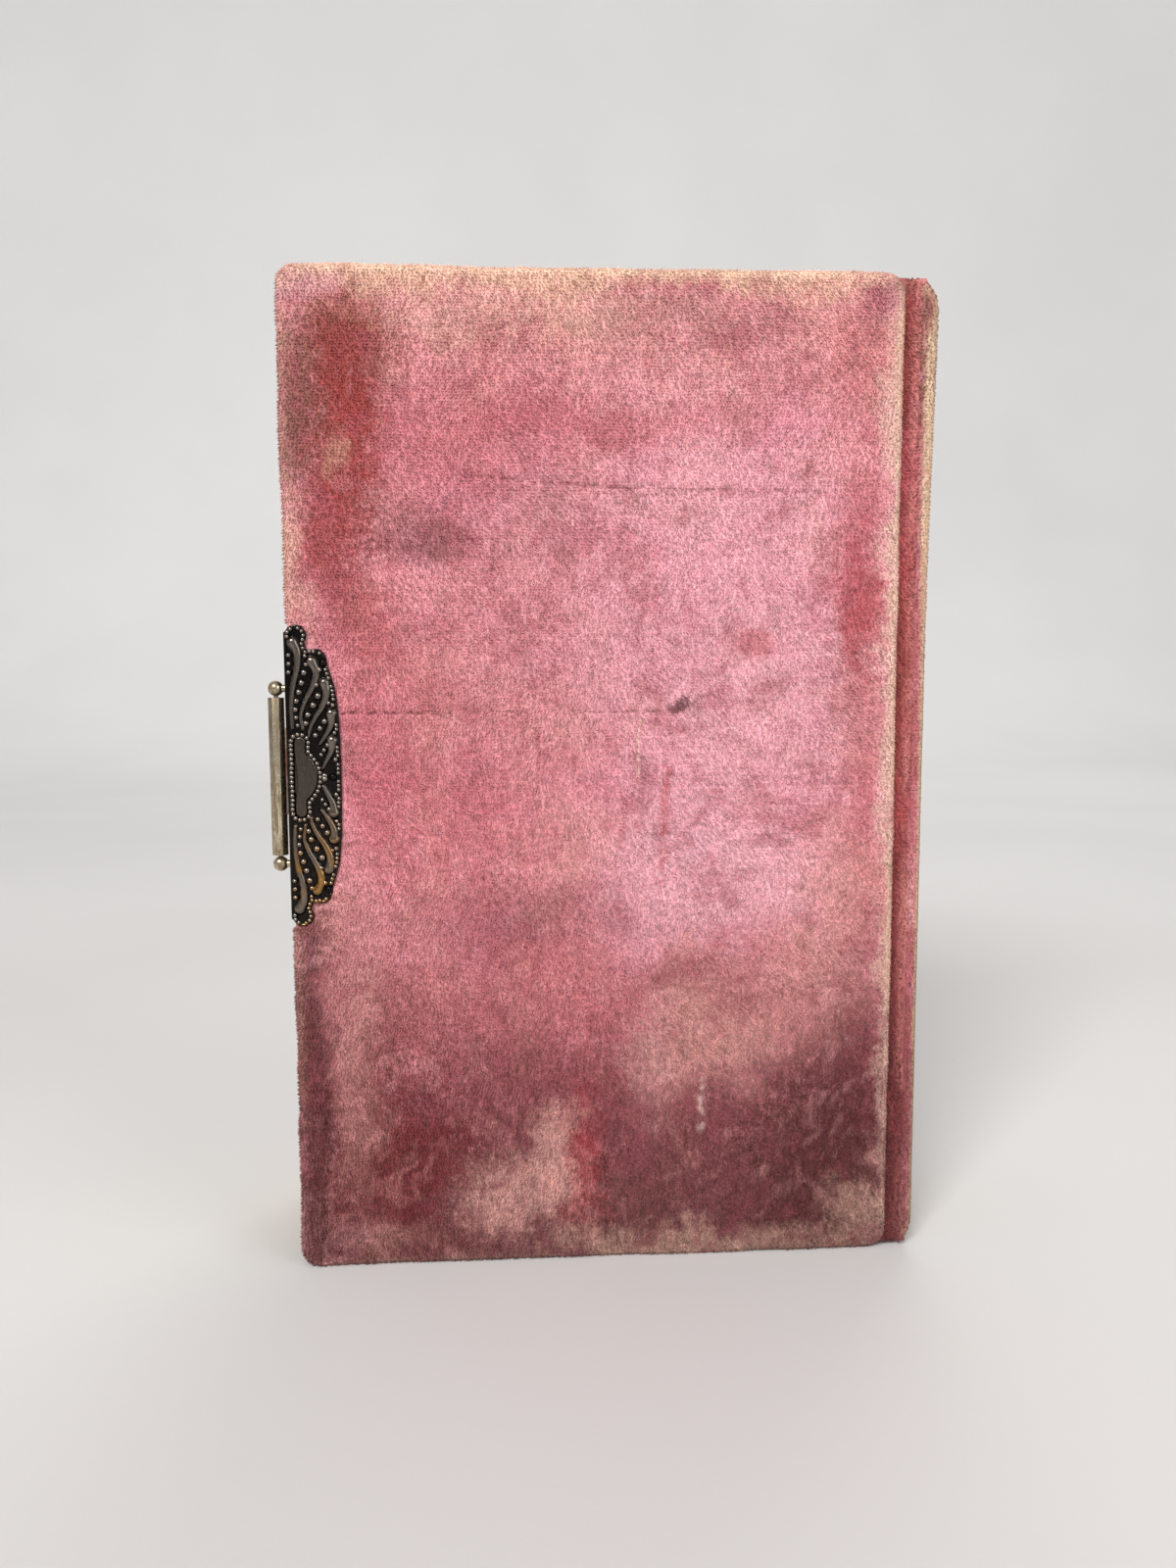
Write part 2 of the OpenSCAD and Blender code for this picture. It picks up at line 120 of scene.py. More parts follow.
class Tree:
    """Adds nodes to a shader tree and links what it is given."""

    def __init__(self, tree):
        self.tree = tree

    def add(self, kind, *inputs, out=0, **settings):
        node = self.tree.nodes.new(kind)
        for name, value in settings.items():
            setattr(node, name, value)
        for place, value in enumerate(inputs):
            if value is None:
                continue
            self.put(node.inputs[place], value)
        return node.outputs[out]

    def put(self, socket, value):
        if isinstance(value, bpy.types.NodeSocket):
            self.tree.links.new(value, socket)
        else:
            socket.default_value = value

    def math(self, operation, *inputs, clamp=False):
        return self.add("ShaderNodeMath", *inputs, operation=operation, use_clamp=clamp)

    def vector(self, operation, *inputs, out=0):
        return self.add("ShaderNodeVectorMath", *inputs, operation=operation, out=out)

    def scale(self, vector, factor):
        node = self.tree.nodes.new("ShaderNodeVectorMath")
        node.operation = "SCALE"
        self.put(node.inputs[0], vector)
        self.put(node.inputs["Scale"], factor)
        return node.outputs[0]

    def mix(self, share, first, second, blend="MIX"):
        node = self.tree.nodes.new("ShaderNodeMix")
        node.data_type = "RGBA"
        node.blend_type = blend
        self.put(node.inputs["Factor"], share)
        self.put(node.inputs[6], first)
        self.put(node.inputs[7], second)
        return node.outputs[2]

    def ramp(self, value, low, high, from_value=0.0, to_value=1.0):
        """Rises smoothly from from_value at low to to_value at high."""
        node = self.tree.nodes.new("ShaderNodeMapRange")
        node.interpolation_type = "SMOOTHSTEP"
        for place, number in enumerate((value, low, high, from_value, to_value)):
            self.put(node.inputs[place], number)
        return node.outputs[0]

    def noise(self, vector, scale, detail=3.0, rough=0.5, out=0):
        node = self.tree.nodes.new("ShaderNodeTexNoise")
        self.put(node.inputs["Vector"], vector)
        node.inputs["Scale"].default_value = scale
        node.inputs["Detail"].default_value = detail
        node.inputs["Roughness"].default_value = rough
        return node.outputs[out]

    def group(self, tree, out=0, **inputs):
        node = self.tree.nodes.new("ShaderNodeGroup")
        node.node_tree = tree
        for name, value in inputs.items():
            self.put(node.inputs[name.replace("_", " ")], value)
        return node.outputs[out]


def new_group(name, inputs, outputs):
    """An empty shader node group with named sockets, as a tree with its group input and output."""
    group = bpy.data.node_groups.new(name, "ShaderNodeTree")
    kinds = {"value": "NodeSocketFloat", "vector": "NodeSocketVector", "colour": "NodeSocketColor"}
    for socket, kind in inputs.items():
        group.interface.new_socket(socket, in_out="INPUT", socket_type=kinds[kind])
    for socket, kind in outputs.items():
        group.interface.new_socket(socket, in_out="OUTPUT", socket_type=kinds[kind])
    source = group.nodes.new("NodeGroupInput")
    end = group.nodes.new("NodeGroupOutput")
    return group, Tree(group), source.outputs, end.inputs


def patch_group():
    """Lays a colour over another inside a soft oval, on the cover's plane, in millimetres."""
    group, t, given, result = new_group(
        "Wear, sheen and shade patch",
        {"Base": "colour", "Place": "vector", "Stretch": "vector", "Shift": "vector",
         "Ragged": "value", "Softness": "value", "Strength": "value", "Patch": "colour"},
        {"Colour": "colour"},
    )
    away = t.vector("MULTIPLY_ADD", given["Place"], given["Stretch"], given["Shift"])
    distance = t.math("ADD", t.vector("LENGTH", away, out=1), given["Ragged"])
    inner = t.math("SUBTRACT", 1.0, given["Softness"])
    outer = t.math("ADD", 1.0, given["Softness"])
    share = t.ramp(distance, inner, outer, given["Strength"], 0.0)
    t.tree.links.new(t.mix(share, given["Base"], given["Patch"]), result["Colour"])
    return group


def line_group():
    """Lays a colour over another along a straight crease, on the cover's plane, in millimetres."""
    group, t, given, result = new_group(
        "Crease",
        {"Base": "colour", "Place": "vector", "Start": "vector", "End": "vector",
         "Half width": "value", "Strength": "value", "Line": "colour"},
        {"Colour": "colour"},
    )
    along = t.vector("SUBTRACT", given["End"], given["Start"])
    away = t.vector("SUBTRACT", given["Place"], given["Start"])
    reached = t.vector("DOT_PRODUCT", away, along, out=1)
    length = t.vector("DOT_PRODUCT", along, along, out=1)
    share = t.math("DIVIDE", reached, length, clamp=True)
    distance = t.vector("DISTANCE", away, t.scale(along, share), out=1)
    share = t.ramp(distance, 0.0, given["Half width"], given["Strength"], 0.0)
    t.tree.links.new(t.mix(share, given["Base"], given["Line"]), result["Colour"])
    return group


def tuft_group():
    """The pile's tufts in their rows: how light each place is, and how high the pile stands."""
    group, t, given, result = new_group(
        "Pile tufts", {"Place": "vector", "Pitch": "value"}, {"Light": "value", "Height": "value"}
    )
    sway = t.scale(t.vector("SUBTRACT", t.noise(given["Place"], 0.3, 0.0, out=1), (0.5, 0.5, 0.5)), 1.2)
    place = t.vector("MULTIPLY", t.vector("ADD", given["Place"], sway), (0.8, 1.0, 1.25))
    cell = t.tree.nodes.new("ShaderNodeTexVoronoi")
    t.put(cell.inputs["Vector"], place)
    t.put(cell.inputs["Scale"], t.math("DIVIDE", 1.0, given["Pitch"]))
    cell.inputs["Randomness"].default_value = 0.75
    own = t.vector("DOT_PRODUCT", cell.outputs["Color"], (0.5, 0.3, 0.2), out=1)
    crown = t.ramp(cell.outputs["Distance"], 0.1, 0.7, 1.0, 0.0)
    fibre = t.noise(given["Place"], 2.6, 2.0, 0.6)
    light = t.math("ADD", t.math("MULTIPLY", own, 0.4), t.math("MULTIPLY", crown, 0.4))
    light = t.math("ADD", light, t.math("MULTIPLY", fibre, 0.3))
    t.tree.links.new(light, result["Light"])
    t.tree.links.new(fibre, result["Height"])
    return group


PATCH = patch_group()
CREASE = line_group()
TUFTS = tuft_group()


def new_material(name):
    """A material with its shader, and the tree to build the rest in."""
    material = bpy.data.materials.new(name)
    material.use_nodes = True
    shader = material.node_tree.nodes["Principled BSDF"]
    return material, Tree(material.node_tree), shader


# Colours of the plush, from its deepest, unfaded red to its barest, worn parts
PALE_PINK = colour(252, 192, 204)
PINK = colour(239, 160, 173)
ROSE = colour(214, 118, 128)
DUSTY_ROSE = colour(238, 172, 168)
CRIMSON = colour(190, 66, 76)
SCARLET = colour(200, 84, 88)
RUST = colour(178, 78, 74)
BRICK = colour(164, 82, 76)
WINE = colour(140, 56, 60)
RUBBED_AND_SHEEN = colour(250, 190, 180)
MAROON = colour(138, 66, 68)
DARK_MAROON = colour(104, 52, 52)
BROWN_ROSE = colour(150, 98, 86)
BEIGE = colour(246, 210, 180)
STRAW = colour(250, 226, 196)
LILAC = colour(214, 150, 170)
CREAM_ROSE = colour(236, 192, 178)
CREAM_WEAR = colour(246, 200, 178)
GROOVE_RED = colour(198, 92, 96)
DARK_STAIN = colour(100, 46, 54)

# Painted shade at the pile's roots and painted highlight at its tips: how dark the roots are, and how
# light the tips
ROOT_SHADE = 0.8
TIP_SHADE = 1.25
# The height below which the pile is crushed, fully so near the tail
CRUSHED_BELOW = 110.0
# How far noise bends the patches' outlines, in millimetres
WARP_BROAD = 22.0
WARP_FINE = 9.0

# Paler and darker places on the rear cover, partly rubbed and faded cloth and partly painted sheen of
# the nap: centre from the fore-edge and the tail, half sizes, softness, strength and colour, all
# lengths in millimetres
REAR_PATCHES = [
    # Broad fields, partly the plush's own colour and partly painted light and shade: paler in the
    # middle and at the head, brownish towards the tail
    ((70, 252), (110, 22), 0.6, 0.5, DUSTY_ROSE),
    ((96, 190), (62, 44), 0.6, 0.65, PALE_PINK),
    ((118, 142), (38, 40), 0.6, 0.55, PALE_PINK),
    ((40, 170), (46, 70), 0.7, 0.35, ROSE),
    ((52, 222), (34, 14), 0.6, 0.4, ROSE),
    ((66, 62), (110, 30), 0.6, 0.6, ROSE),
    ((66, 40), (110, 26), 0.7, 0.3, MAROON),
    ((80, 8), (120, 40), 0.7, 0.66, MAROON),
    ((100, -6), (120, 34), 0.8, 0.5, DARK_MAROON),
    # The red band beside the fore-edge
    ((17, 230), (9, 30), 0.6, 0.95, RUST),
    ((20, 246), (10, 9), 0.6, 0.7, BRICK),
    ((14, 200), (7, 24), 0.7, 0.7, RUST),
    ((20, 176), (6, 12), 0.7, 0.45, RUST),
    # The red places beside the groove
    ((152, 180), (6, 17), 0.7, 0.75, CRIMSON),
    ((151, 148), (7, 22), 0.7, 0.35, SCARLET),
    ((150, 204), (8, 12), 0.7, 0.4, SCARLET),
    ((152, 236), (9, 20), 0.6, 0.45, ROSE),
    ((153, 112), (6, 26), 0.6, 0.55, ROSE),
    ((150, 52), (12, 38), 0.6, 0.75, MAROON),
    # Darker clouds
    ((36, 196), (13, 6), 0.6, 0.65, MAROON),
    ((84, 226), (46, 5), 0.6, 0.4, ROSE),
    ((104, 250), (30, 4), 0.6, 0.3, BROWN_ROSE),
    ((24, 140), (9, 34), 0.6, 0.5, ROSE),
    ((42, 116), (18, 20), 0.7, 0.4, ROSE),
    ((66, 96), (30, 9), 0.6, 0.35, MAROON),
    ((108, 76), (22, 8), 0.6, 0.35, MAROON),
    ((80, 80), (14, 22), 0.6, 0.35, ROSE),
    ((122, 168), (4, 5), 0.6, 0.6, ROSE),
    ((14, 60), (16, 34), 0.6, 0.5, MAROON),
    ((54, 50), (30, 12), 0.6, 0.3, MAROON),
    ((28, 26), (18, 24), 0.6, 0.85, WINE),
    ((112, 24), (24, 22), 0.6, 0.15, MAROON),
    ((77, 28), (5, 18), 0.6, 0.8, CRIMSON),
    ((144, 22), (22, 34), 0.7, 0.85, DARK_MAROON),
    ((4, 50), (5, 62), 0.5, 0.75, DARK_MAROON),
    ((5, 232), (6, 20), 0.6, 0.85, BROWN_ROSE),
    # Pale places, partly rubbed cloth and partly painted sheen of crushed pile
    ((60, 18), (16, 9), 0.5, 0.8, RUBBED_AND_SHEEN),
    ((68, 31), (6, 12), 0.5, 0.75, RUBBED_AND_SHEEN),
    ((74, 40), (5, 4), 0.6, 0.6, RUBBED_AND_SHEEN),
    ((96, 56), (7, 15), 0.6, 0.55, colour(246, 184, 184)),
    ((112, 62), (16, 14), 0.6, 0.6, RUBBED_AND_SHEEN),
    ((138, 76), (18, 16), 0.7, 0.4, DUSTY_ROSE),
    ((118, 104), (22, 14), 0.6, 0.7, PALE_PINK),
    ((92, 100), (16, 18), 0.6, 0.45, PALE_PINK),
    ((106, 118), (12, 20), 0.6, 0.6, PALE_PINK),
    ((34, 92), (16, 8), 0.6, 0.3, PINK),
    ((16, 84), (8, 26), 0.6, 0.35, DUSTY_ROSE),
    ((146, 96), (10, 24), 0.6, 0.6, DUSTY_ROSE),
    ((14, 216), (2.5, 5), 0.7, 0.25, STRAW),
    ((16, 48), (5, 24), 0.7, 0.3, RUBBED_AND_SHEEN),
    ((22, 9), (14, 5), 0.6, 0.3, RUBBED_AND_SHEEN),
    # Worn borders
    ((70, 263), (110, 5), 0.6, 0.7, BEIGE),
    ((56, 252), (34, 6), 0.6, 0.25, STRAW),
    ((3, 192), (5, 20), 0.6, 0.4, colour(220, 190, 160)),
    ((160.2, 150), (2.6, 112), 0.5, 0.7, CREAM_ROSE),
    ((159.6, 222), (4.2, 32), 0.6, 0.6, CREAM_ROSE),
    ((106, 4), (34, 5), 0.6, 0.6, CREAM_WEAR),
    ((152, 10), (8, 9), 0.6, 0.5, CREAM_WEAR),
    # Bare cloth at the corners
    ((4, 260), (9, 4), 0.6, 0.5, LILAC),
    ((155.5, 256), (5, 6), 0.7, 0.5, colour(156, 88, 108)),
    ((158.4, 261.4), (2.6, 2.4), 0.6, 0.8, colour(112, 60, 76)),
    ((157, 3), (5, 4), 0.6, 0.4, colour(160, 100, 110)),
    # Small stains
    ((104, 151), (2.6, 1.6), 0.6, 0.8, DARK_STAIN),
]

# Creases and scratches on the rear cover: start and end, half width, strength, colour, depth
REAR_CREASES = [
    ((44, 212), (90, 209), 0.9, 0.6, MAROON, 0.35),
    ((90, 209), (142, 208), 0.8, 0.45, MAROON, 0.3),
    ((80, 219.6), (142, 219.6), 0.6, 0.3, ROSE, 0.15),
    ((14, 151.2), (42, 151), 0.7, 0.75, DARK_STAIN, 0.4),
    ((46, 151.6), (62, 151.2), 0.5, 0.4, MAROON, 0.25),
    ((66, 151.2), (96, 151), 0.45, 0.45, DARK_STAIN, 0.25),
    ((44, 204), (44.5, 152), 1.6, 0.25, ROSE, 0.2),
    ((92, 149), (91.6, 133), 0.45, 0.85, STRAW, 0.1),
    ((96, 205), (97, 150), 0.9, 0.3, ROSE, 0.15),
    ((109.2, 50), (108.8, 36), 1.7, 0.75, colour(250, 208, 204), -0.2),
    ((99.5, 136), (97.5, 104), 2.2, 0.6, SCARLET, 0.3),
    ((102.5, 130), (100.5, 108), 1.3, 0.5, PALE_PINK, -0.15),
    ((82.4, 35), (82.8, 3), 0.6, 0.75, DARK_STAIN, 0.35),
    ((60, 205), (60, 152), 1.2, 0.15, ROSE, 0.1),
    ((112, 204), (112, 150), 1.4, 0.22, PALE_PINK, 0.1),
]


def plush_material(name, base, patches=(), creases=(), worn=BEIGE, worn_low=0.35, least_worn=0.25):
    """Rose plush: a faded ground, patches partly rubbed and partly painted sheen, creases, worn edges,
    and tufts of pile, with painted sheen and shade by the nap and painted shade towards the tail.
    """
    material, t, shader = new_material(name)
    position = t.add("ShaderNodeTexCoord", out=3)
    place = t.vector("SUBTRACT", t.scale(position, 1 / MM), (FORE_X, REAR_Y, 0.0))
    broad = t.vector("SUBTRACT", t.noise(place, 0.045, 3.0, out=1), (0.5, 0.5, 0.5))
    ragged = t.vector("SUBTRACT", t.noise(place, 0.28, 4.0, 0.6, out=1), (0.5, 0.5, 0.5))
    warp = t.vector("ADD", t.scale(broad, WARP_BROAD), t.scale(ragged, WARP_FINE))
    flat = t.vector("MULTIPLY", t.vector("ADD", place, warp), (1.0, 0.0, 1.0))
    straight = t.vector("MULTIPLY", t.vector("ADD", place, t.scale(ragged, 2.0)), (1.0, 0.0, 1.0))

    clouds = t.ramp(t.noise(place, 0.035, 4.0, 0.6), 0.35, 0.65)
    tint = t.mix(clouds, base[0], base[1])
    nap = t.add("ShaderNodeAttribute", attribute_name="nap", out=2)
    fleck = t.math("MULTIPLY_ADD", t.noise(place, 1.1, 2.0, 0.6), 1.2, -0.6)
    ragged_edge = t.math("MULTIPLY_ADD", t.noise(place, 0.3, 4.0, 0.7), 1.4, -0.7)
    ragged_edge = t.math("ADD", ragged_edge, fleck)
    for centre, half, soft, strength, patch in patches:
        tint = t.group(
            PATCH, Base=tint, Place=flat, Stretch=(1 / half[0], 1.0, 1 / half[1]),
            Shift=(-centre[0] / half[0], 0.0, -centre[1] / half[1]), Ragged=ragged_edge,
            Softness=soft, Strength=strength, Patch=patch,
        )
    # Where the nap lies flat it is pale, as painted sheen, and where it stands up it is deep, as
    # painted shade, most of all at the tail
    height_z = t.add("ShaderNodeSeparateXYZ", place, out=2)
    crushed = t.ramp(height_z, CRUSHED_BELOW, 20.0)
    pressed = t.math("MULTIPLY", t.ramp(nap, 0.0, 1.0), t.math("MULTIPLY_ADD", crushed, 0.08, 0.2))
    tint = t.mix(t.math("MULTIPLY", t.ramp(nap, 0.0, -0.8), 0.4), tint, base[2])
    tint = t.mix(pressed, tint, t.mix(crushed, base[3], base[1]))
    lie = t.math("MULTIPLY", nap, t.math("MULTIPLY_ADD", crushed, 0.1, 0.16))
    # Darker towards the tail, partly the plush's own colour and partly painted shade where the light
    # falls off
    lie = t.math("ADD", lie, t.ramp(height_z, 125.0, -10.0, 1.0, 0.7))
    brown = t.ramp(t.noise(place, 0.09, 4.0, 0.7), 0.5, 0.7)
    tint = t.mix(t.math("MULTIPLY", brown, 0.28), tint, base[4])

    broken = t.ramp(t.noise(place, 0.5, 2.0), 0.35, 0.6)
    for start, end, half, strength, line, _ in creases:
        tint = t.group(
            CREASE, Base=tint, Place=straight, Start=(start[0], 0.0, start[1]),
            End=(end[0], 0.0, end[1]), Half_width=half, Strength=t.math("MULTIPLY", broken, strength),
            Line=line,
        )

    wear = t.add("ShaderNodeAttribute", attribute_name="wear", out=2)
    patchy = t.ramp(t.noise(place, 0.07, 3.0, 0.6), 0.3, 0.62, least_worn, 1.0)
    low_down = t.ramp(height_z, 90.0, 20.0, 1.0, worn_low)
    tint = t.mix(t.math("MULTIPLY", t.math("MULTIPLY", wear, patchy), low_down), tint, worn)

    tufts = t.tree.nodes.new("ShaderNodeGroup")
    tufts.node_tree = TUFTS
    t.put(tufts.inputs["Place"], place)
    tufts.inputs["Pitch"].default_value = 0.75
    tip = t.add("ShaderNodeAttribute", attribute_name="tip", out=2)
    light = t.ramp(tufts.outputs["Light"], 0.2, 0.9, 0.8, 1.15)
    light = t.math("MULTIPLY", light, t.ramp(tip, 0.0, 1.0, ROOT_SHADE, TIP_SHADE))
    tone_and_glint = t.add("ShaderNodeAttribute", attribute_name="tone_and_glint", out=2)
    # At the tail the tufts differ more in lightness, as painted glints
    sparkle = t.math("MULTIPLY_ADD", crushed, 0.16, 0.17)
    light = t.math("MULTIPLY", light, t.math("MULTIPLY_ADD", tone_and_glint, sparkle, 1.0))
    light = t.math("MULTIPLY", light, lie)
    shade = t.add("ShaderNodeCombineColor", light, light, light)
    tint = t.mix(1.0, tint, shade, blend="MULTIPLY")

    bump = t.tree.nodes.new("ShaderNodeBump")
    bump.inputs["Strength"].default_value = 0.8
    bump.inputs["Distance"].default_value = 0.25 * MM
    t.put(bump.inputs["Height"], tufts.outputs["Height"])
    t.put(shader.inputs["Base Color"], tint)
    t.put(shader.inputs["Normal"], bump.outputs["Normal"])
    shader.inputs["Roughness"].default_value = 0.9
    shader.inputs["Specular IOR Level"].default_value = 0.15
    shader.inputs["Sheen Weight"].default_value = 0.25
    shader.inputs["Sheen Roughness"].default_value = 0.4
    shader.inputs["Sheen Tint"].default_value = colour(255, 205, 205)
    return material


def pitting_group():
    """Aged plating: brown streaks and stains, and small dark pits."""
    group, t, given, result = new_group(
        "Aged plating",
        {"Place": "vector", "Metal": "colour", "Stain": "colour", "Pit": "colour", "Amount": "value"},
        {"Colour": "colour", "Stained": "value", "Height": "value"},
    )
    streak = t.noise(t.vector("MULTIPLY", given["Place"], (1.0, 1.0, 0.07)), 2.4, 5.0, 0.65)
    stained = t.ramp(streak, 0.46, 0.6)
    cloud = t.ramp(t.noise(given["Place"], 0.35, 3.0, 0.6), 0.4, 0.65)
    stained = t.math("MAXIMUM", stained, t.math("MULTIPLY", cloud, 0.7))
    stained = t.math("MULTIPLY", stained, given["Amount"])
    pits = t.ramp(t.noise(given["Place"], 2.6, 3.0, 0.7), 0.6, 0.7)
    pits = t.math("MULTIPLY", pits, given["Amount"])
    tint = t.mix(stained, given["Metal"], given["Stain"])
    t.tree.links.new(t.mix(pits, tint, given["Pit"]), result["Colour"])
    t.tree.links.new(stained, result["Stained"])
    t.tree.links.new(t.math("SUBTRACT", 1.0, pits), result["Height"])
    return group


PLATING = pitting_group()


def metal_material(name, metal, stain, pit, amount, crest=None, brass=None, rough=0.3):
    """Old metal with stains and pits; a pressed pattern is darker in its hollows, lighter on its rubbed
    crests, and carries painted highlights and glints.
    """
    material, t, shader = new_material(name)
    place = t.scale(t.add("ShaderNodeTexCoord", out=3), 1 / MM)
    plating = t.tree.nodes.new("ShaderNodeGroup")
    plating.node_tree = PLATING
    t.put(plating.inputs["Place"], place)
    plating.inputs["Metal"].default_value = metal
    plating.inputs["Stain"].default_value = stain
    plating.inputs["Pit"].default_value = pit
    plating.inputs["Amount"].default_value = amount
    tint = plating.outputs["Colour"]
    if crest:
        # The relief attribute holds the crests' height, where the metal is rubbed lighter, and a
        # painted highlight on the sides facing the light
        height = t.add("ShaderNodeAttribute", attribute_name="relief", out=2)
        rubbed = t.ramp(height, 0.1, 0.7)
        height_z = t.add("ShaderNodeSeparateXYZ", place, out=2)
        lower = t.ramp(height_z, CLASP_Z - 4, CLASP_Z - 26)
        patchy = t.ramp(t.noise(place, 0.16, 3.0, 0.6), 0.36, 0.6)
        shown = t.mix(t.math("MULTIPLY", lower, patchy), crest, brass)
        # Painted glints: the highest relief is mixed towards pale silver
        shown = t.mix(t.ramp(height, 0.8, 1.2), shown, t.mix(0.5, shown, colour(214, 208, 198)))
        tint = t.mix(rubbed, tint, shown)
    bump = t.tree.nodes.new("ShaderNodeBump")
    bump.inputs["Strength"].default_value = 0.6
    bump.inputs["Distance"].default_value = 0.06 * MM
    t.put(bump.inputs["Height"], plating.outputs["Height"])
    t.put(shader.inputs["Base Color"], tint)
    t.put(shader.inputs["Normal"], bump.outputs["Normal"])
    t.put(shader.inputs["Roughness"], t.ramp(plating.outputs["Stained"], 0.0, 1.0, rough, rough + 0.2))
    shader.inputs["Metallic"].default_value = 1.0
    return material


def paper_material(name, ground, stain):
    """Old paper, card or lining cloth: a ground colour with stains and a fine tooth."""
    material, t, shader = new_material(name)
    place = t.scale(t.add("ShaderNodeTexCoord", out=3), 1 / MM)
    foxing = t.ramp(t.noise(place, 0.06, 5.0, 0.65), 0.5, 0.8)
    tooth = t.noise(place, 2.4, 2.0)
    tint = t.mix(t.math("MULTIPLY", foxing, 0.35), ground, stain)
    bump = t.tree.nodes.new("ShaderNodeBump")
    bump.inputs["Strength"].default_value = 0.3
    bump.inputs["Distance"].default_value = 0.1 * MM
    t.put(bump.inputs["Height"], tooth)
    t.put(shader.inputs["Base Color"], tint)
    t.put(shader.inputs["Normal"], bump.outputs["Normal"])
    t.put(shader.inputs["Roughness"], t.ramp(tooth, 0.3, 0.7, 0.62, 0.78))
    return material


def leaf_material():
    """The block of leaves: gilt on its edges, cream card on its two outer leaves."""
    material, t, shader = new_material("gilt and cream leaves")
    place = t.scale(t.add("ShaderNodeTexCoord", out=3), 1 / MM)
    across = t.add("ShaderNodeSeparateXYZ", place, out=1)
    flat = t.ramp(t.math("ABSOLUTE", across), LEAVES_HALF_T - 0.12, LEAVES_HALF_T - 0.04)
    streaks = t.noise(t.vector("MULTIPLY", place, (1.0, 5.0, 1.0)), 0.5, 4.0, 0.6)
    rubbed = t.ramp(t.noise(place, 0.12, 4.0, 0.65), 0.5, 0.7)
    gold = t.mix(t.ramp(streaks, 0.35, 0.7), colour(224, 184, 104), colour(162, 120, 62))
    gold = t.mix(t.math("MULTIPLY", rubbed, 0.6), gold, colour(120, 86, 48))
    foxing = t.ramp(t.noise(place, 0.05, 5.0, 0.65), 0.5, 0.8)
    cream = t.mix(t.math("MULTIPLY", foxing, 0.35), colour(226, 212, 182), colour(196, 160, 112))
    bump = t.tree.nodes.new("ShaderNodeBump")
    bump.inputs["Strength"].default_value = 0.3
    bump.inputs["Distance"].default_value = 0.08 * MM
    t.put(bump.inputs["Height"], streaks)
    t.put(shader.inputs["Base Color"], t.mix(flat, gold, cream))
    t.put(shader.inputs["Metallic"], t.ramp(flat, 0.0, 1.0, 0.8, 0.0))
    t.put(shader.inputs["Roughness"], t.ramp(flat, 0.0, 1.0, 0.4, 0.75))
    t.put(shader.inputs["Normal"], bump.outputs["Normal"])
    return material


# Meshes

# Cells across the random grid behind the noise, after which it repeats
NOISE_CELLS = 256


def noise_field(x, z, size, seed):
    """Smooth random values from -1 to 1 on a plane, with waves about size across."""
    grid = np.random.default_rng(seed).uniform(-1, 1, (NOISE_CELLS, NOISE_CELLS))
    u, v = x / size + 17.0, z / size + 31.0
    i, j = np.floor(u).astype(int), np.floor(v).astype(int)
    a, b = u - i, v - j
    a, b = a * a * (3 - 2 * a), b * b * (3 - 2 * b)
    i, j = i % NOISE_CELLS, j % NOISE_CELLS
    k, m = (i + 1) % NOISE_CELLS, (j + 1) % NOISE_CELLS
    low = grid[i, j] * (1 - a) + grid[k, j] * a
    high = grid[i, m] * (1 - a) + grid[k, m] * a
    return low * (1 - b) + high * b


def segment_distance(x, z, start, end):
    """Distance of points from a straight line between two places on a plane."""
    ax, az = end[0] - start[0], end[1] - start[1]
    share = np.clip(((x - start[0]) * ax + (z - start[1]) * az) / (ax * ax + az * az), 0, 1)
    return np.hypot(x - start[0] - share * ax, z - start[1] - share * az)


def finished(name, material, smooth=True):
    """Names the active object, gives it its material, and puts its place into its mesh."""
    piece = bpy.context.object
    bpy.ops.object.transform_apply(location=True, rotation=True, scale=True)
    piece.name = name
    piece.data.name = name
    piece.data.materials.clear()
    piece.data.materials.append(material)
    if smooth:
        bpy.ops.object.shade_smooth()
    piece.select_set(False)
    return piece


def new_grid(width, height, step):
    """A flat grid centred on the origin; returns the object and its points, in millimetres."""
    bpy.ops.object.select_all(action="DESELECT")
    bpy.ops.mesh.primitive_grid_add(
        x_subdivisions=round(width / step), y_subdivisions=round(height / step), size=1
    )
    piece = bpy.context.object
    points = get_points(piece) * (width, height, 1.0)
    return piece, points[:, 0], points[:, 1]


def get_points(piece):
    points = np.zeros(len(piece.data.vertices) * 3)
    piece.data.vertices.foreach_get("co", points)
    return points.reshape(-1, 3)


def set_points(piece, x, y, z):
    """Moves a piece's points to places given in millimetres."""
    points = np.stack([x, y, z], axis=1) * MM
    piece.data.vertices.foreach_set("co", points.ravel())
    piece.data.update()


def set_attribute(piece, name, values):
    attribute = piece.data.attributes.new(name, "FLOAT", "POINT")
    attribute.data.foreach_set("value", np.asarray(values, np.float32))


def turn_faces(piece):
    bpy.ops.object.mode_set(mode="EDIT")
    bpy.ops.mesh.select_all(action="SELECT")
    bpy.ops.mesh.flip_normals()
    bpy.ops.object.mode_set(mode="OBJECT")


# The plush: cloth laid over the covers and the spine, and the tufts that stand on it

CLOTH_STEP = 1.2
TUFT_PITCH = 0.85
PLAIN_PITCH = 1.1
TUFT_HEIGHT = 0.7
# How the tufts differ: shares of that height, widths in pitches, lean down the nap, and how far
# their roots stand in the cloth
TUFT_HEIGHTS = (0.7, 1.4)
TUFT_WIDTHS = (0.55, 0.75)
TUFT_LEAN = 0.45
TUFT_ROOT = 0.25


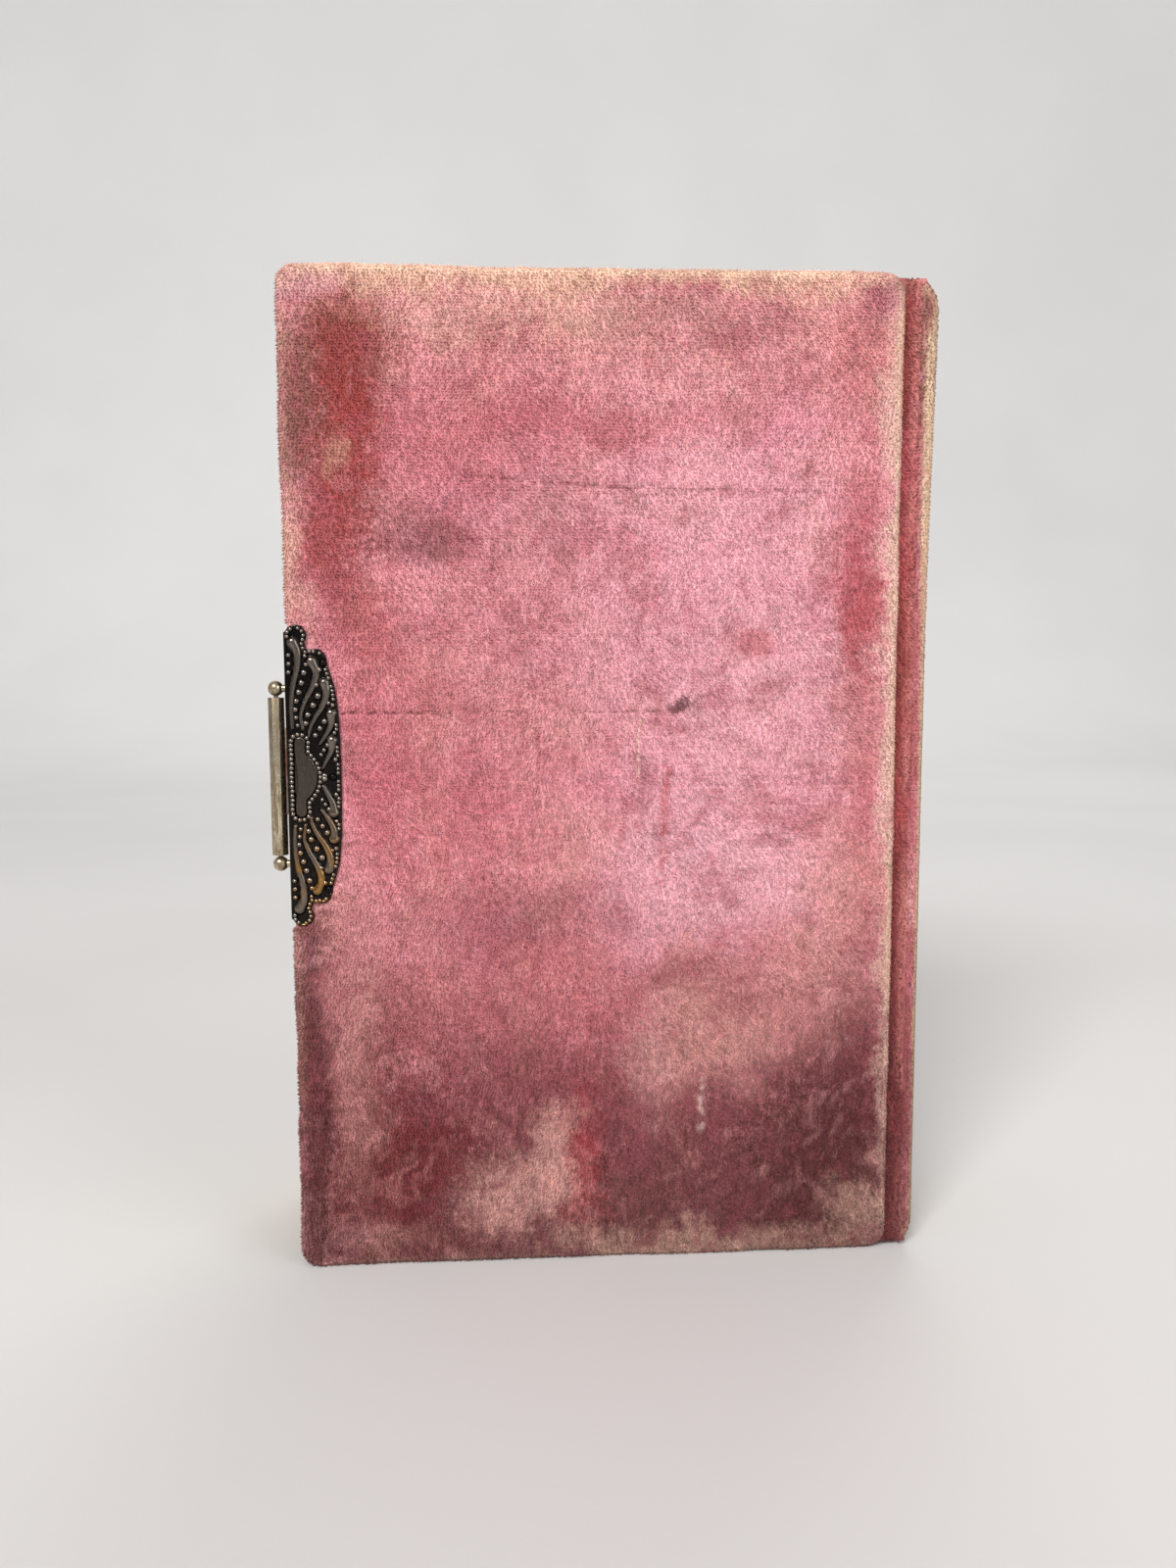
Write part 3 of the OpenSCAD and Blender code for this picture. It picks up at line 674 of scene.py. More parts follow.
def new_tuft():
    """The points and faces of one tuft: a short three-sided spike, one unit wide and high."""
    bpy.ops.object.select_all(action="DESELECT")
    bpy.ops.mesh.primitive_cone_add(vertices=3, radius1=1, radius2=0, depth=1, location=(0, 0, 0.5))
    bpy.ops.object.transform_apply(location=True)
    spike = bpy.context.object
    points = get_points(spike)
    faces = [tuple(face.vertices) for face in spike.data.polygons]
    bpy.data.objects.remove(spike)
    return points, faces


def join_copies(name, x, y, z, faces, count, mirrored):
    """One object of many copies of a shape, from all their points and one copy's faces."""
    corners = np.concatenate([np.array(face) for face in faces])
    corners = (corners[None, :] + len(x) // count * np.arange(count)[:, None]).ravel()
    sizes = np.tile([len(face) for face in faces], count)
    mesh = bpy.data.meshes.new(name)
    mesh.vertices.add(len(x))
    mesh.loops.add(len(corners))
    mesh.polygons.add(len(sizes))
    mesh.loops.foreach_set("vertex_index", corners)
    mesh.polygons.foreach_set("loop_start", np.concatenate([[0], np.cumsum(sizes)[:-1]]))
    mesh.update(calc_edges=True)
    piece = bpy.data.objects.new(name, mesh)
    bpy.context.scene.collection.objects.link(piece)
    bpy.context.view_layer.objects.active = piece
    piece.select_set(True)
    set_points(piece, x, y, z)
    if mirrored:
        turn_faces(piece)
    return piece


def grow_pile(name, material, surface, half_u, span_v, keep, nap_of, seed, mirrored, pitch):
    """Stands tufts in rows on a surface, leaning down the nap.

    surface(u, v, lift) places a point of the cloth, keep(u, v) says how worn it is, with no tuft
    where it is quite bare, and nap_of(u, v) says how its nap lies."""
    draw = np.random.default_rng(seed)
    u, v = np.meshgrid(np.arange(-half_u, half_u, pitch), np.arange(*span_v, pitch * 0.9))
    u = u + draw.uniform(0, pitch, len(u))[:, None]
    u, v = u.ravel(), v.ravel()
    u = u + draw.uniform(-0.25, 0.25, len(u)) * pitch
    v = v + draw.uniform(-0.12, 0.12, len(v)) * pitch
    worn = keep(u, v)
    chosen = worn < 0.95
    u, v, worn = u[chosen], v[chosen], worn[chosen]
    count = len(u)
    nap = nap_of(u, v)
    height = TUFT_HEIGHT * draw.uniform(*TUFT_HEIGHTS, count) * (1 - 0.5 * worn)
    lean_u = 0.5 * noise_field(u, v, 17, seed) + draw.uniform(-0.35, 0.35, count)
    lean_v = -TUFT_LEAN - 0.35 * nap + draw.uniform(-0.3, 0.3, count)
    angle = draw.uniform(0, 2 * math.pi, count)
    width = pitch * draw.uniform(*TUFT_WIDTHS, count)
    # Each tuft is lighter or darker at random, and by its woven row, as painted highlight on the rows
    # and painted shade in their gaps
    tone_and_glint = 0.6 * draw.uniform(-1, 1, count) + 0.9 * woven_rows(u, v + COVER_H / 2, seed)
    tone_and_glint = np.clip(tone_and_glint, -1.2, 1.2)

    points, faces = new_tuft()
    px, py, pz = points.T
    turn_u = np.outer(np.cos(angle), px) - np.outer(np.sin(angle), py)
    turn_v = np.outer(np.sin(angle), px) + np.outer(np.cos(angle), py)
    all_u = u[:, None] + turn_u * width[:, None] + np.outer(lean_u, pz)
    all_v = v[:, None] + turn_v * width[:, None] + np.outer(lean_v, pz)
    lift = np.outer(height, pz) - TUFT_ROOT * (1 - pz)
    x, y, z = surface(all_u.ravel(), all_v.ravel(), lift.ravel())

    piece = join_copies(name, x, y, z, faces, count, mirrored)
    set_attribute(piece, "tip", np.tile(pz, count))
    set_attribute(piece, "tone_and_glint", np.repeat(tone_and_glint, len(px)))
    set_attribute(piece, "wear", np.repeat(worn, len(px)))
    set_attribute(piece, "nap", np.repeat(nap, len(px)))
    return finished(name, material, smooth=False)


def wrapped(u, v, lift=0.0):
    """Wraps a flat cloth round a cover. u and v run over the cloth from the cover's middle.

    Gives the place from the fore-edge, the depth below the outer face, the height above the tail,
    and how far each point lies past the start of the rounded edge."""
    half_w, half_h = COVER_W / 2 - COVER_CORNER, COVER_H / 2 - COVER_CORNER
    cu, cv = np.clip(u, -half_w, half_w), np.clip(v, -half_h, half_h)
    du, dv = u - cu, v - cv
    ring = np.maximum(np.abs(du), np.abs(dv))
    length = np.maximum(np.hypot(du, dv), 1e-9)
    nu, nv = du / length, dv / length
    past = ring - (COVER_CORNER - EDGE_R)
    first = np.clip(past / EDGE_R, 0, math.pi / 2)
    down = np.clip(past - EDGE_ARC, 0, EDGE_SIDE)
    second = np.clip((past - EDGE_ARC - EDGE_SIDE) / EDGE_R, 0, math.pi / 2)
    inward = np.maximum(past - 2 * EDGE_ARC - EDGE_SIDE, 0)
    flat_ring = np.minimum(ring, COVER_CORNER - EDGE_R)
    angle = first + second
    radial = flat_ring + (EDGE_R + lift) * np.sin(angle) - inward
    depth = EDGE_R - (EDGE_R + lift) * np.cos(angle) + down
    return cu + nu * radial + COVER_W / 2, depth, cv + nv * radial + COVER_H / 2, past


def plush_relief(x, z, seed, creases):
    """How far the crushed pile stands above its mean, in millimetres."""
    relief = 0.3 * noise_field(x, z, 31, seed) + 0.2 * noise_field(x, z, 9, seed + 1)
    relief += 0.1 * noise_field(x, z, 3.1, seed + 2)
    for start, end, half, _, _, depth in creases:
        relief -= depth * np.exp(-((segment_distance(x, z, start, end) / (half + 0.5)) ** 2))
    return relief


def nap_field(x, z, seed):
    """Which way the nap lies, from -1 where it stands up to 1 where it is pressed flat."""
    across = x + 5 * noise_field(x, z, 19, seed) + 2 * noise_field(x, z, 6, seed + 1)
    up = z + 5 * noise_field(x, z, 17, seed + 2) + 2 * noise_field(x, z, 5, seed + 3)
    # Broad and even at the head, fine and broken at the tail, where it is crushed
    crushed = np.clip((CRUSHED_BELOW - z) / 70, 0, 1)
    lie = np.zeros(np.shape(x))
    for place, size in enumerate((27, 13, 6.3, 3.1, 1.6)):
        share = 0.36 + (place - 2.4) * 0.07 * crushed
        lie += share * noise_field(across, up, size, seed + 4 + place)
    # Fine rows, lying across in some places and upright in others
    level = np.clip(1.6 * noise_field(x, z, 60, seed + 9) + 0.6, 0, 1) * (1 - 0.8 * crushed)
    rows = 0.45 - 0.1 * crushed
    lie += rows * level * noise_field(x / 7, z, 0.9, seed + 10)
    lie += rows * (1 - level) * noise_field(x, z / 7, 0.9, seed + 11)
    return np.clip(lie, -1, 1)


def woven_rows(x, z, seed):
    """The rows the pile was woven in, from -1 in a gap to 1 on a row."""
    # The rows stand upright at the tail and lie level above
    upright = np.clip((CRUSHED_BELOW - z) / 50, 0, 1)
    level = noise_field(x / 6, z, 0.75, seed + 31)
    return upright * noise_field(x, z / 6, 0.75, seed + 32) + (1 - upright) * level


def plate_distance(x, z):
    """How far a point on the cover's plane lies outside the clasp plate, roughly."""
    away = np.abs(z - CLASP_Z)
    share = np.clip(1 - (away / PLATE_HALF_H) ** 2.6, 0, 1) ** 0.5
    return np.where(away < PLATE_HALF_H, x - PLATE_W * share, np.hypot(x, away - PLATE_HALF_H))


# How far the plush is pressed in under the clasp plate and under the endpaper
UNDER_PLATE = 0.35
UNDER_PAPER = 0.2
# Width of the rubbed strip of a cover beside its groove
HINGE_RUB_W = 7


def cover_surface(seed, creases, mirrored):
    """A function that places the plush of a cover, with its hollows and creases."""

    def place(u, v, lift):
        x, _, z, past = wrapped(u, v)
        inner = past > EDGE_R * math.pi
        relief = plush_relief(np.where(inner, x + 400, x), z, seed, creases)
        hidden = np.clip(1 - (past - INNER_START - 2.5) / 1.5, 0, 1)
        pressed = np.where(inner, 1.0, np.clip(plate_distance(x, z) / 1.2, 0, 1))
        stand = relief * hidden * pressed - UNDER_PLATE * (1 - pressed) - UNDER_PAPER * (1 - hidden)
        # Beside the groove the pile is rubbed short, where the open cover folds back on the spine
        rubbed = 1 - 0.5 * np.clip((x - COVER_W + HINGE_RUB_W) / 2, 0, 1)
        x, depth, z, _ = wrapped(u, v, (stand + lift) * rubbed)
        y = REAR_Y + depth
        return x + FORE_X, -y if mirrored else y, np.maximum(z, 0.0)

    return place


def edge_wear(past, u):
    """How worn the pile is on a cover's rounded edge: least at the fore-edge."""
    handled = np.clip((u + COVER_W / 2 + 2) / 10, 0.4, 1)
    return handled * np.exp(-(((past - EDGE_R * 0.9) / 1.8) ** 2))


def cover_plush(name, materials, body, node, seed, creases, mirrored):
    """The plush of a cover: one cloth laid over the card, round its edges and in behind the paper."""
    place = cover_surface(seed, creases, mirrored)

    def cover_nap(u, v):
        return nap_field(u + COVER_W / 2, v + COVER_H / 2, seed + 20)

    margin = INNER_START + TURN_IN - EDGE_R
    piece, u, v = new_grid(COVER_W + 2 * margin, COVER_H + 2 * margin, CLOTH_STEP)
    set_points(piece, *place(u, v, 0.0))
    if mirrored:
        turn_faces(piece)
    past = wrapped(u, v)[3]
    set_attribute(piece, "wear", edge_wear(past, u))
    set_attribute(piece, "nap", cover_nap(u, v))
    set_attribute(piece, "tip", np.where(past > INNER_START, 0.8, 0.5))
    piece = finished(name, materials[0])
    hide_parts(node)
    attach(piece, body)

    def worn(u, v):
        x, _, z, past = wrapped(u, v)
        bare = (past > EDGE_ARC + EDGE_SIDE + 0.6) | (plate_distance(x, z) < 0.5)
        return np.where(bare, 1.0, 0.6 * edge_wear(past, u))

    halves = (("tail", -COVER_H / 2 - 4, 0.0), ("head", 0.0, COVER_H / 2 + 4))
    for material, (half, low, high) in zip(materials[1:], halves):
        pile = grow_pile(
            name.replace("plush", "pile_" + half), material, place,
            COVER_W / 2 + 4, (low, high), worn, cover_nap, seed + 5, mirrored,
            PLAIN_PITCH if mirrored else TUFT_PITCH,
        )
        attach(pile, body)


# The grooves are darker towards the tail, as painted shade
GROOVE_PATCHES = [
    ((163, 60), (60, 50), 0.8, 0.55, MAROON),
    ((163, 0), (60, 60), 0.8, 0.75, DARK_MAROON),
    ((163, 210), (60, 16), 0.8, 0.4, ROSE),
    ((163, 263), (60, 5), 0.7, 0.7, BROWN_ROSE),
]

# The shoulders are redder on the side towards the groove
SPINE_PATCHES = [
    ((166, 132), (4.2, 150), 0.6, 0.8, colour(188, 98, 102)),
    ((166, 20), (8, 50), 0.6, 0.5, MAROON),
    ((166.5, 246), (6, 24), 0.6, 0.85, BROWN_ROSE),
]

PLUSH_COLOURS = (PINK, DUSTY_ROSE, ROSE, PALE_PINK, BROWN_ROSE)


# How far a patch and a crease can reach past their own heights, as their outlines are ragged
PATCH_REACH = 2.4
PATCH_MARGIN = 9
CREASE_MARGIN = 5


def band_plush(name, low, high):
    """The rear cover's plush with only the patches and creases that reach a band of heights."""
    patches = [
        (centre, half, *rest) for centre, half, *rest in REAR_PATCHES
        if low - PATCH_MARGIN < centre[1] + PATCH_REACH * half[1]
        and centre[1] - PATCH_REACH * half[1] < high + PATCH_MARGIN
    ]
    creases = [
        (start, end, *rest) for start, end, *rest in REAR_CREASES
        if low - CREASE_MARGIN < max(start[1], end[1])
        and min(start[1], end[1]) < high + CREASE_MARGIN
    ]
    return plush_material(name, PLUSH_COLOURS, patches, creases)


# The cloth, the pile of its tail half and the pile of its head half
REAR_PLUSH = (
    plush_material("plush rear", PLUSH_COLOURS, REAR_PATCHES, REAR_CREASES),
    band_plush("plush rear tail", 0, COVER_H / 2),
    band_plush("plush rear head", COVER_H / 2, COVER_H),
)
plain_plush = plush_material("plush front", PLUSH_COLOURS)
spine_material = plush_material(
    "plush spine", PLUSH_COLOURS, SPINE_PATCHES,
    worn=colour(222, 192, 160), worn_low=0.7, least_worn=0.7,
)
groove_plush = plush_material(
    "plush groove", (GROOVE_RED, BRICK, WINE, ROSE, BRICK), GROOVE_PATCHES, worn=colour(222, 142, 138)
)

cover_plush("rear_cover_plush", REAR_PLUSH, "rear_cover", "rear_plush", 11, REAR_CREASES, False)
cover_plush("front_cover_plush", [plain_plush] * 3, "front_cover", "front_plush", 41, (), True)

# Radius and depth to which the spine's cloth is rolled in at the head and the tail
ROLL_R = 1.3
ROLL_IN = 6.0
ROLL_REACH = ROLL_R * math.pi / 2 + ROLL_IN - ROLL_R


def rolled(v, half):
    """Rolls the ends of a strip in: gives the height from its middle, and the depth it sinks to."""
    start = half - ROLL_R
    past = np.clip((np.abs(v) - start) / ROLL_R, 0, math.pi / 2)
    inward = np.clip(np.abs(v) - start - ROLL_R * math.pi / 2, 0, None)
    return np.minimum(np.abs(v), start) + ROLL_R * np.sin(past), ROLL_R * (1 - np.cos(past)) + inward


# How far the groove's cloth reaches in under the cover's edge and under the shoulder
TUCK = 1.4


def groove_surface(seed, mirrored):
    def place(u, v, lift):
        end, sink = rolled(v, COVER_H / 2 - SPINE_DROP)
        z = COVER_H / 2 + np.sign(v) * (end + np.where(sink > 0, np.minimum(lift, 0.5) * 0.5, 0))
        x = COVER_W + GROOVE_W / 2 + u
        near_end = np.clip((np.abs(v) - (COVER_H / 2 - 9)) / 8, 0, 1)
        across = np.clip(2 * u / GROOVE_W, -1, 1)
        hollow = GROOVE_DEPTH - 1.1 * across**4 - 1.1 * near_end**2
        relief = 0.2 * noise_field(x * 2, z, 5, seed) + 0.08 * noise_field(x * 2, z, 1.6, seed + 1)
        y = REAR_Y + np.clip(hollow, 0.8, GROOVE_DEPTH) - relief - lift + sink
        return x + FORE_X, -y if mirrored else y, z

    return place


def groove_wear_and_shade(u, v):
    """How worn the groove's pile is: towards the spine's shoulder, and at the head and the tail; the
    paler wear leaves the side by the cover's edge darker, as painted shade.
    """
    at_side = 0.9 * np.clip(0.35 + 2 * u / GROOVE_W, 0, 1) ** 1.5
    at_end = np.clip((np.abs(v) - (COVER_H / 2 - 9)) / 9, 0, 1)
    return np.maximum(at_side, 0.3 * at_end)


def groove_cloth(name, mirrored, seed):
    """The cloth at the bottom of a hinge groove, from the cover's edge to the spine's shoulder."""
    place = groove_surface(seed, mirrored)
    half = COVER_H / 2 - SPINE_DROP
    piece, u, v = new_grid(GROOVE_W + 2 * TUCK, 2 * (half + ROLL_REACH - 2), CLOTH_STEP / 2)
    set_points(piece, *place(u, v, 0.0))
    if mirrored:
        turn_faces(piece)

    def groove_nap(u, v):
        return nap_field(u * 2, v + COVER_H / 2, seed + 2)

    set_attribute(piece, "wear", groove_wear_and_shade(u, v))
    set_attribute(piece, "tip", np.full(len(u), 0.5))
    set_attribute(piece, "nap", groove_nap(u, v))
    piece = finished(name, groove_plush)

    def worn(u, v):
        return np.where(np.abs(v) > half + 1.0, 1.0, 0.8 * groove_wear_and_shade(u, v))

    pile = grow_pile(
        name.replace("cloth", "pile"), groove_plush, place,
        GROOVE_W / 2 - 0.1, (-half - 1, half + 1), worn, groove_nap, seed, mirrored, TUFT_PITCH,
    )
    for part in (piece, pile):
        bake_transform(part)


groove_cloth("rear_groove_cloth", False, 71)
groove_cloth("front_groove_cloth", True, 81)

SHOULDER_W = SPINE_W - SHOULDER_X
CREST_R = SHOULDER_W / 2
SPINE_FLAT = SPINE_HALF_Y - CREST_R
SPINE_HALF_S = SPINE_FLAT + CREST_R * math.pi + 1.6
# The spine is drawn in along its length and spreads at the head
DRAWN_IN = 1.2
HEAD_SPREAD = 1.6
HEAD_LENGTH = 60


def spine_surface(s, v, lift):
    """Places the spine's plush: s runs from the middle of the spine over a shoulder to the groove."""
    side, away = np.sign(s), np.abs(s)
    turn = np.clip((away - SPINE_FLAT) / CREST_R, 0, math.pi)
    inner = np.clip(away - SPINE_FLAT - CREST_R * math.pi, 0, None)
    x = SHOULDER_X + CREST_R + CREST_R * np.cos(turn)
    y = side * (np.minimum(away, SPINE_FLAT) + CREST_R * np.sin(turn) - inner)
    end, sink = rolled(v, COVER_H / 2 - SPINE_DROP)
    corner = np.clip(x - (SPINE_W - SPINE_CORNER), 0, None)
    drop = SPINE_CORNER - np.sqrt(np.maximum(SPINE_CORNER**2 - corner**2, 0))
    near = np.clip((np.abs(v) - (COVER_H / 2 - 30)) / 26, 0, 1)
    on_end = np.clip(sink / ROLL_R, 0, 1)
    relief = 0.2 * noise_field(y, v, 21, 91) + 0.12 * noise_field(y, v, 7, 92)
    relief += 0.08 * noise_field(y, v, 2.6, 93)
    on_shoulder = np.clip((away - SPINE_FLAT) / 1.5, 0, 1)
    lift = (lift + relief * (1 - on_end)) * (1 - 0.4 * on_shoulder)
    z = COVER_H / 2 + np.sign(v) * (end - drop * near**2 + lift * on_end)
    stand = lift * (1 - on_end) - np.minimum(sink, CREST_R - 0.3)
    bow = HEAD_SPREAD * np.exp(-(((v - COVER_H / 2 + 5) / HEAD_LENGTH) ** 2)) - DRAWN_IN
    x = x + bow * np.clip((x - SHOULDER_X) / SHOULDER_W, 0, 1)
    return x + np.cos(turn) * stand + FORE_X, y + side * np.sin(turn) * stand, z


# Heights above the tail, and how far the worn line reaches round the shoulder at each
CREST_WEAR = ((0, 130, 160, 195, 245, 252, 260), (2.7, 2.8, 3.2, 4.4, 4.4, 3.4, 2.4))


def crest_wear(s, v):
    """How worn the pile is along the spine's shoulders, most of all near the head, and at its ends."""
    reach = np.interp(v + COVER_H / 2, *CREST_WEAR) + 0.4 * noise_field(s, v, 1.7, 96)
    past = np.abs(s) - SPINE_FLAT
    on_crest = np.clip((reach + 0.5 - past) / 1.4, 0, 1) * np.clip((past + 3) / 2, 0, 1)
    at_end = 0.5 * np.exp(-(((np.abs(v) - COVER_H / 2 + SPINE_DROP + ROLL_R) / 2.5) ** 2))
    return np.maximum(on_crest, at_end)


def spine_plush():
    """The plush over the spine's stiffener, rolled in at the head, the tail and the grooves."""
    half = COVER_H / 2 - SPINE_DROP
    piece, s, v = new_grid(2 * SPINE_HALF_S, 2 * (half + ROLL_REACH - ROLL_R), CLOTH_STEP)
    set_points(piece, *spine_surface(s, v, 0.0))

    def spine_nap(s, v):
        return nap_field(s + 60, v + COVER_H / 2, 97)

    set_attribute(piece, "wear", crest_wear(s, v))
    set_attribute(piece, "tip", np.full(len(s), 0.5))
    set_attribute(piece, "nap", spine_nap(s, v))
    piece = finished("spine_cover_plush", spine_material)
    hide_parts("spine_plush")
    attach(piece, "book")

    def worn(s, v):
        gone = (np.abs(s) > SPINE_FLAT + CREST_R * 2.6) | (np.abs(v) > half + 1.5)
        return np.where(gone, 1.0, 0.85 * crest_wear(s, v))

    pile = grow_pile(
        "spine_cover_pile", spine_material, spine_surface,
        SPINE_HALF_S, (-half - 1.5, half + 1.5), worn, spine_nap, 95, False, PLAIN_PITCH * 0.9,
    )
    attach(pile, "book")


spine_plush()

# The clasp plates, pressed with lobes, beads and a smooth medallion.
# Places are millimetres from the fore-edge and from the clasp's middle, for the upper half.

LOBES = [
    [(2.0, 34.9), (3.3, 32.6), (3.1, 28.1), (1.9, 24.0), (1.2, 18.1), (1.5, 12.9)],
    [(6.7, 30.0), (8.2, 27.3), (6.9, 23.4), (4.8, 19.8), (3.5, 16.3), (4.1, 12.6)],
    [(9.9, 24.4), (10.6, 21.8), (9.2, 18.1), (7.4, 15.7), (5.9, 12.8), (5.6, 10.8)],
    [(11.4, 16.4), (11.5, 13.6), (10.0, 11.0), (8.4, 8.7)],
    [(11.5, 9.4), (11.4, 6.9), (10.1, 4.6), (9.0, 2.4)],
]
LOBE_HEAD = 1.45
LOBE_TAIL = 0.55
BEADS = [
    (4.8, 27.2, 0.8), (4.1, 24.6, 0.8), (3.35, 22.2, 0.76), (2.65, 19.9, 0.72), (2.35, 17.7, 0.66),
    (2.5, 15.6, 0.6), (2.8, 13.6, 0.56), (8.2, 21.2, 0.84), (6.9, 18.8, 0.82), (5.5, 16.3, 0.78),
    (4.9, 14.1, 0.7), (9.7, 14.6, 0.76), (8.5, 12.8, 0.72), (7.3, 11.0, 0.68), (10.3, 8.4, 0.6),
    (9.4, 7.1, 0.58), (8.6, 5.9, 0.54), (1.0, 31.7, 0.56), (1.0, 29.5, 0.56), (0.9, 27.3, 0.54),
    (6.3, 32.7, 0.56), (5.1, 31.5, 0.54), (11.9, 18.8, 0.6), (12.2, 11.6, 0.54), (12.3, 4.6, 0.6),
    (9.4, 0.4, 0.8), (8.8, 27.9, 0.62), (5.3, 29.3, 0.6), (7.9, 24.0, 0.6), (10.9, 19.3, 0.5),
]
NAILS = [(9.73, 29.74), (11.51, 0.0), (9.73, -29.74)]
RIM = [
    (-6, 37.67), (0, 37.67), (4.93, 35.7), (5.48, 33.3), (9.86, 31.7), (11.23, 27.8), (12.74, 22.6),
    (13.43, 15.5), (13.7, 4.0),
]
SCALLOPS = [(2.74, 36.68, 2.9), (7.67, 30.53, 2.9)]
# The medallion's slim body, by its middle, half height and end radius, and its round belly
MEDALLION_BODY = (3.15, 9.08, 1.55)
MEDALLION_BELLY = (0.14, 7.53)
MEDALLION_LEFT = 1.9
PRESS_H = 0.8
# How much wider the beads are than the radii listed above, and how far they sink into the sheet
BEAD_SCALE = 1.25
BEAD_SINK = 0.12


def polygon_distance(x, z, corners):
    """Signed distance from a closed outline, less than zero inside."""
    nearest = np.full(x.shape, 1e9)
    inside = np.zeros(x.shape, bool)
    for start, end in zip(corners, corners[1:] + corners[:1]):
        nearest = np.minimum(nearest, segment_distance(x, z, start, end))
        if start[1] != end[1]:
            across = (start[1] > z) != (end[1] > z)
            cut = start[0] + (z - start[1]) / (end[1] - start[1]) * (end[0] - start[0])
            inside ^= across & (x < cut)
    return np.where(inside, -nearest, nearest)


def rim_distance(x, z):
    """Signed distance from the plate's scalloped rim."""
    corners = RIM + [(cx, -cz) for cx, cz in reversed(RIM)]
    distance = polygon_distance(x, z, corners)
    for cx, cz, r in SCALLOPS:
        distance = np.minimum(distance, np.hypot(x - cx, np.abs(z) - cz) - r)
    return distance


def medallion_distance(x, z):
    """Signed distance from the smooth medallion's edge."""
    cx, half, r = MEDALLION_BODY
    body = np.hypot(x - cx, np.maximum(np.abs(z) - half, 0)) - r
    cx, r = MEDALLION_BELLY
    belly = np.maximum(np.hypot(x - cx, z) - r, MEDALLION_LEFT - x)
    return np.minimum(body, belly)


def lobe_distance(x, z, path):
    """Distance from a lobe's middle line less its half width there, and that half width."""
    best = np.full(x.shape, 1e9)
    width = np.full(x.shape, LOBE_HEAD)
    steps = len(path) - 1
    for place, (start, end) in enumerate(zip(path, path[1:])):
        ax, az = end[0] - start[0], end[1] - start[1]
        share = np.clip(((x - start[0]) * ax + (z - start[1]) * az) / (ax * ax + az * az), 0, 1)
        along = (place + share) / steps
        half = LOBE_TAIL + (LOBE_HEAD - LOBE_TAIL) * (1 - along) ** 1.5
        away = np.hypot(x - start[0] - share * ax, z - start[1] - share * az) - half
        width = np.where(away < best, half, width)
        best = np.minimum(best, away)
    return best, width


def smooth_path(path):
    """A finer path through the same places, rounded at its corners."""
    points = np.array(path)
    for _ in range(2):
        low, high = points[:-1], points[1:]
        cut = np.stack([low * 0.75 + high * 0.25, low * 0.25 + high * 0.75], axis=1).reshape(-1, 2)
        points = np.concatenate([points[:1], cut, points[-1:]])
    return [tuple(point) for point in points]


def row_of_beads(distance, inset, pitch):
    """Places along the line where a signed distance is -inset, about a pitch apart."""
    gx, gz = np.meshgrid(np.arange(0.4, 13.6, 0.1), np.arange(0.0, 39.6, 0.1))
    near = np.abs(distance(gx, gz) + inset) < 0.06
    chosen = []
    for x, z in sorted(zip(gx[near], gz[near]), key=lambda p: (round(p[1], 1), p[0])):
        if all(math.hypot(x - cx, z - cz) >= pitch for cx, cz in chosen):
            chosen.append((x, z))
    return chosen


def pressed_height(x, z):
    """The height of the pressed pattern, from 0 to about 1."""
    rim = rim_distance(x, z)
    height = 0.35 * np.exp(-(((rim + 0.35) / 0.28) ** 2))
    lobes = [smooth_path(path) for path in LOBES]
    lobe_away = np.full(x.shape, 1e9)
    for path in lobes:
        away, half = lobe_distance(x, np.abs(z), path)
        inside = np.clip(-away / half, 0, 1)
        height = np.maximum(height, np.sqrt(1 - (1 - inside) ** 2) * (0.55 + 0.4 * half))
        lobe_away = np.minimum(lobe_away, away)
    medallion = medallion_distance(x, z)
    engraved = 0.2 * np.exp(-(((np.hypot(x + 24, z) - 26.3) / 0.16) ** 2))
    smooth_top = 0.45 * np.clip(-medallion / 0.35, 0, 1) ** 0.5 - engraved
    height = np.maximum(height, np.where(medallion < 0, smooth_top, 0))
    for nx, nz in NAILS:
        away = np.hypot(x - nx, z - nz)
        height = np.where(away < 1.45, height * np.clip((away - 1.15) / 0.3, 0, 1), height)
    return height


def bead_places():
    """Where the beads stand on the plate, and their radii."""
    lobes = [smooth_path(path) for path in LOBES]
    beads = list(BEADS)
    for bx, bz in row_of_beads(rim_distance, 0.8, 1.1):
        far = min(lobe_distance(np.array([bx]), np.array([bz]), path)[0][0] for path in lobes)
        if far > 0.1 and all(math.hypot(bx - cx, bz - cz) > r + 0.35 for cx, cz, r in BEADS):
            beads.append((bx, bz, 0.5))
    beads += [(bx, bz, 0.58) for bx, bz in row_of_beads(medallion_distance, -0.65, 1.2)]
    both = [(bx, sign * bz, r) for bx, bz, r in beads for sign in ((1, -1) if bz > 0.3 else (1,))]
    return [
        (bx, bz, r) for bx, bz, r in both
        if all(math.hypot(bx - nx, bz - nz) > r + 1.15 for nx, nz in NAILS)
    ]


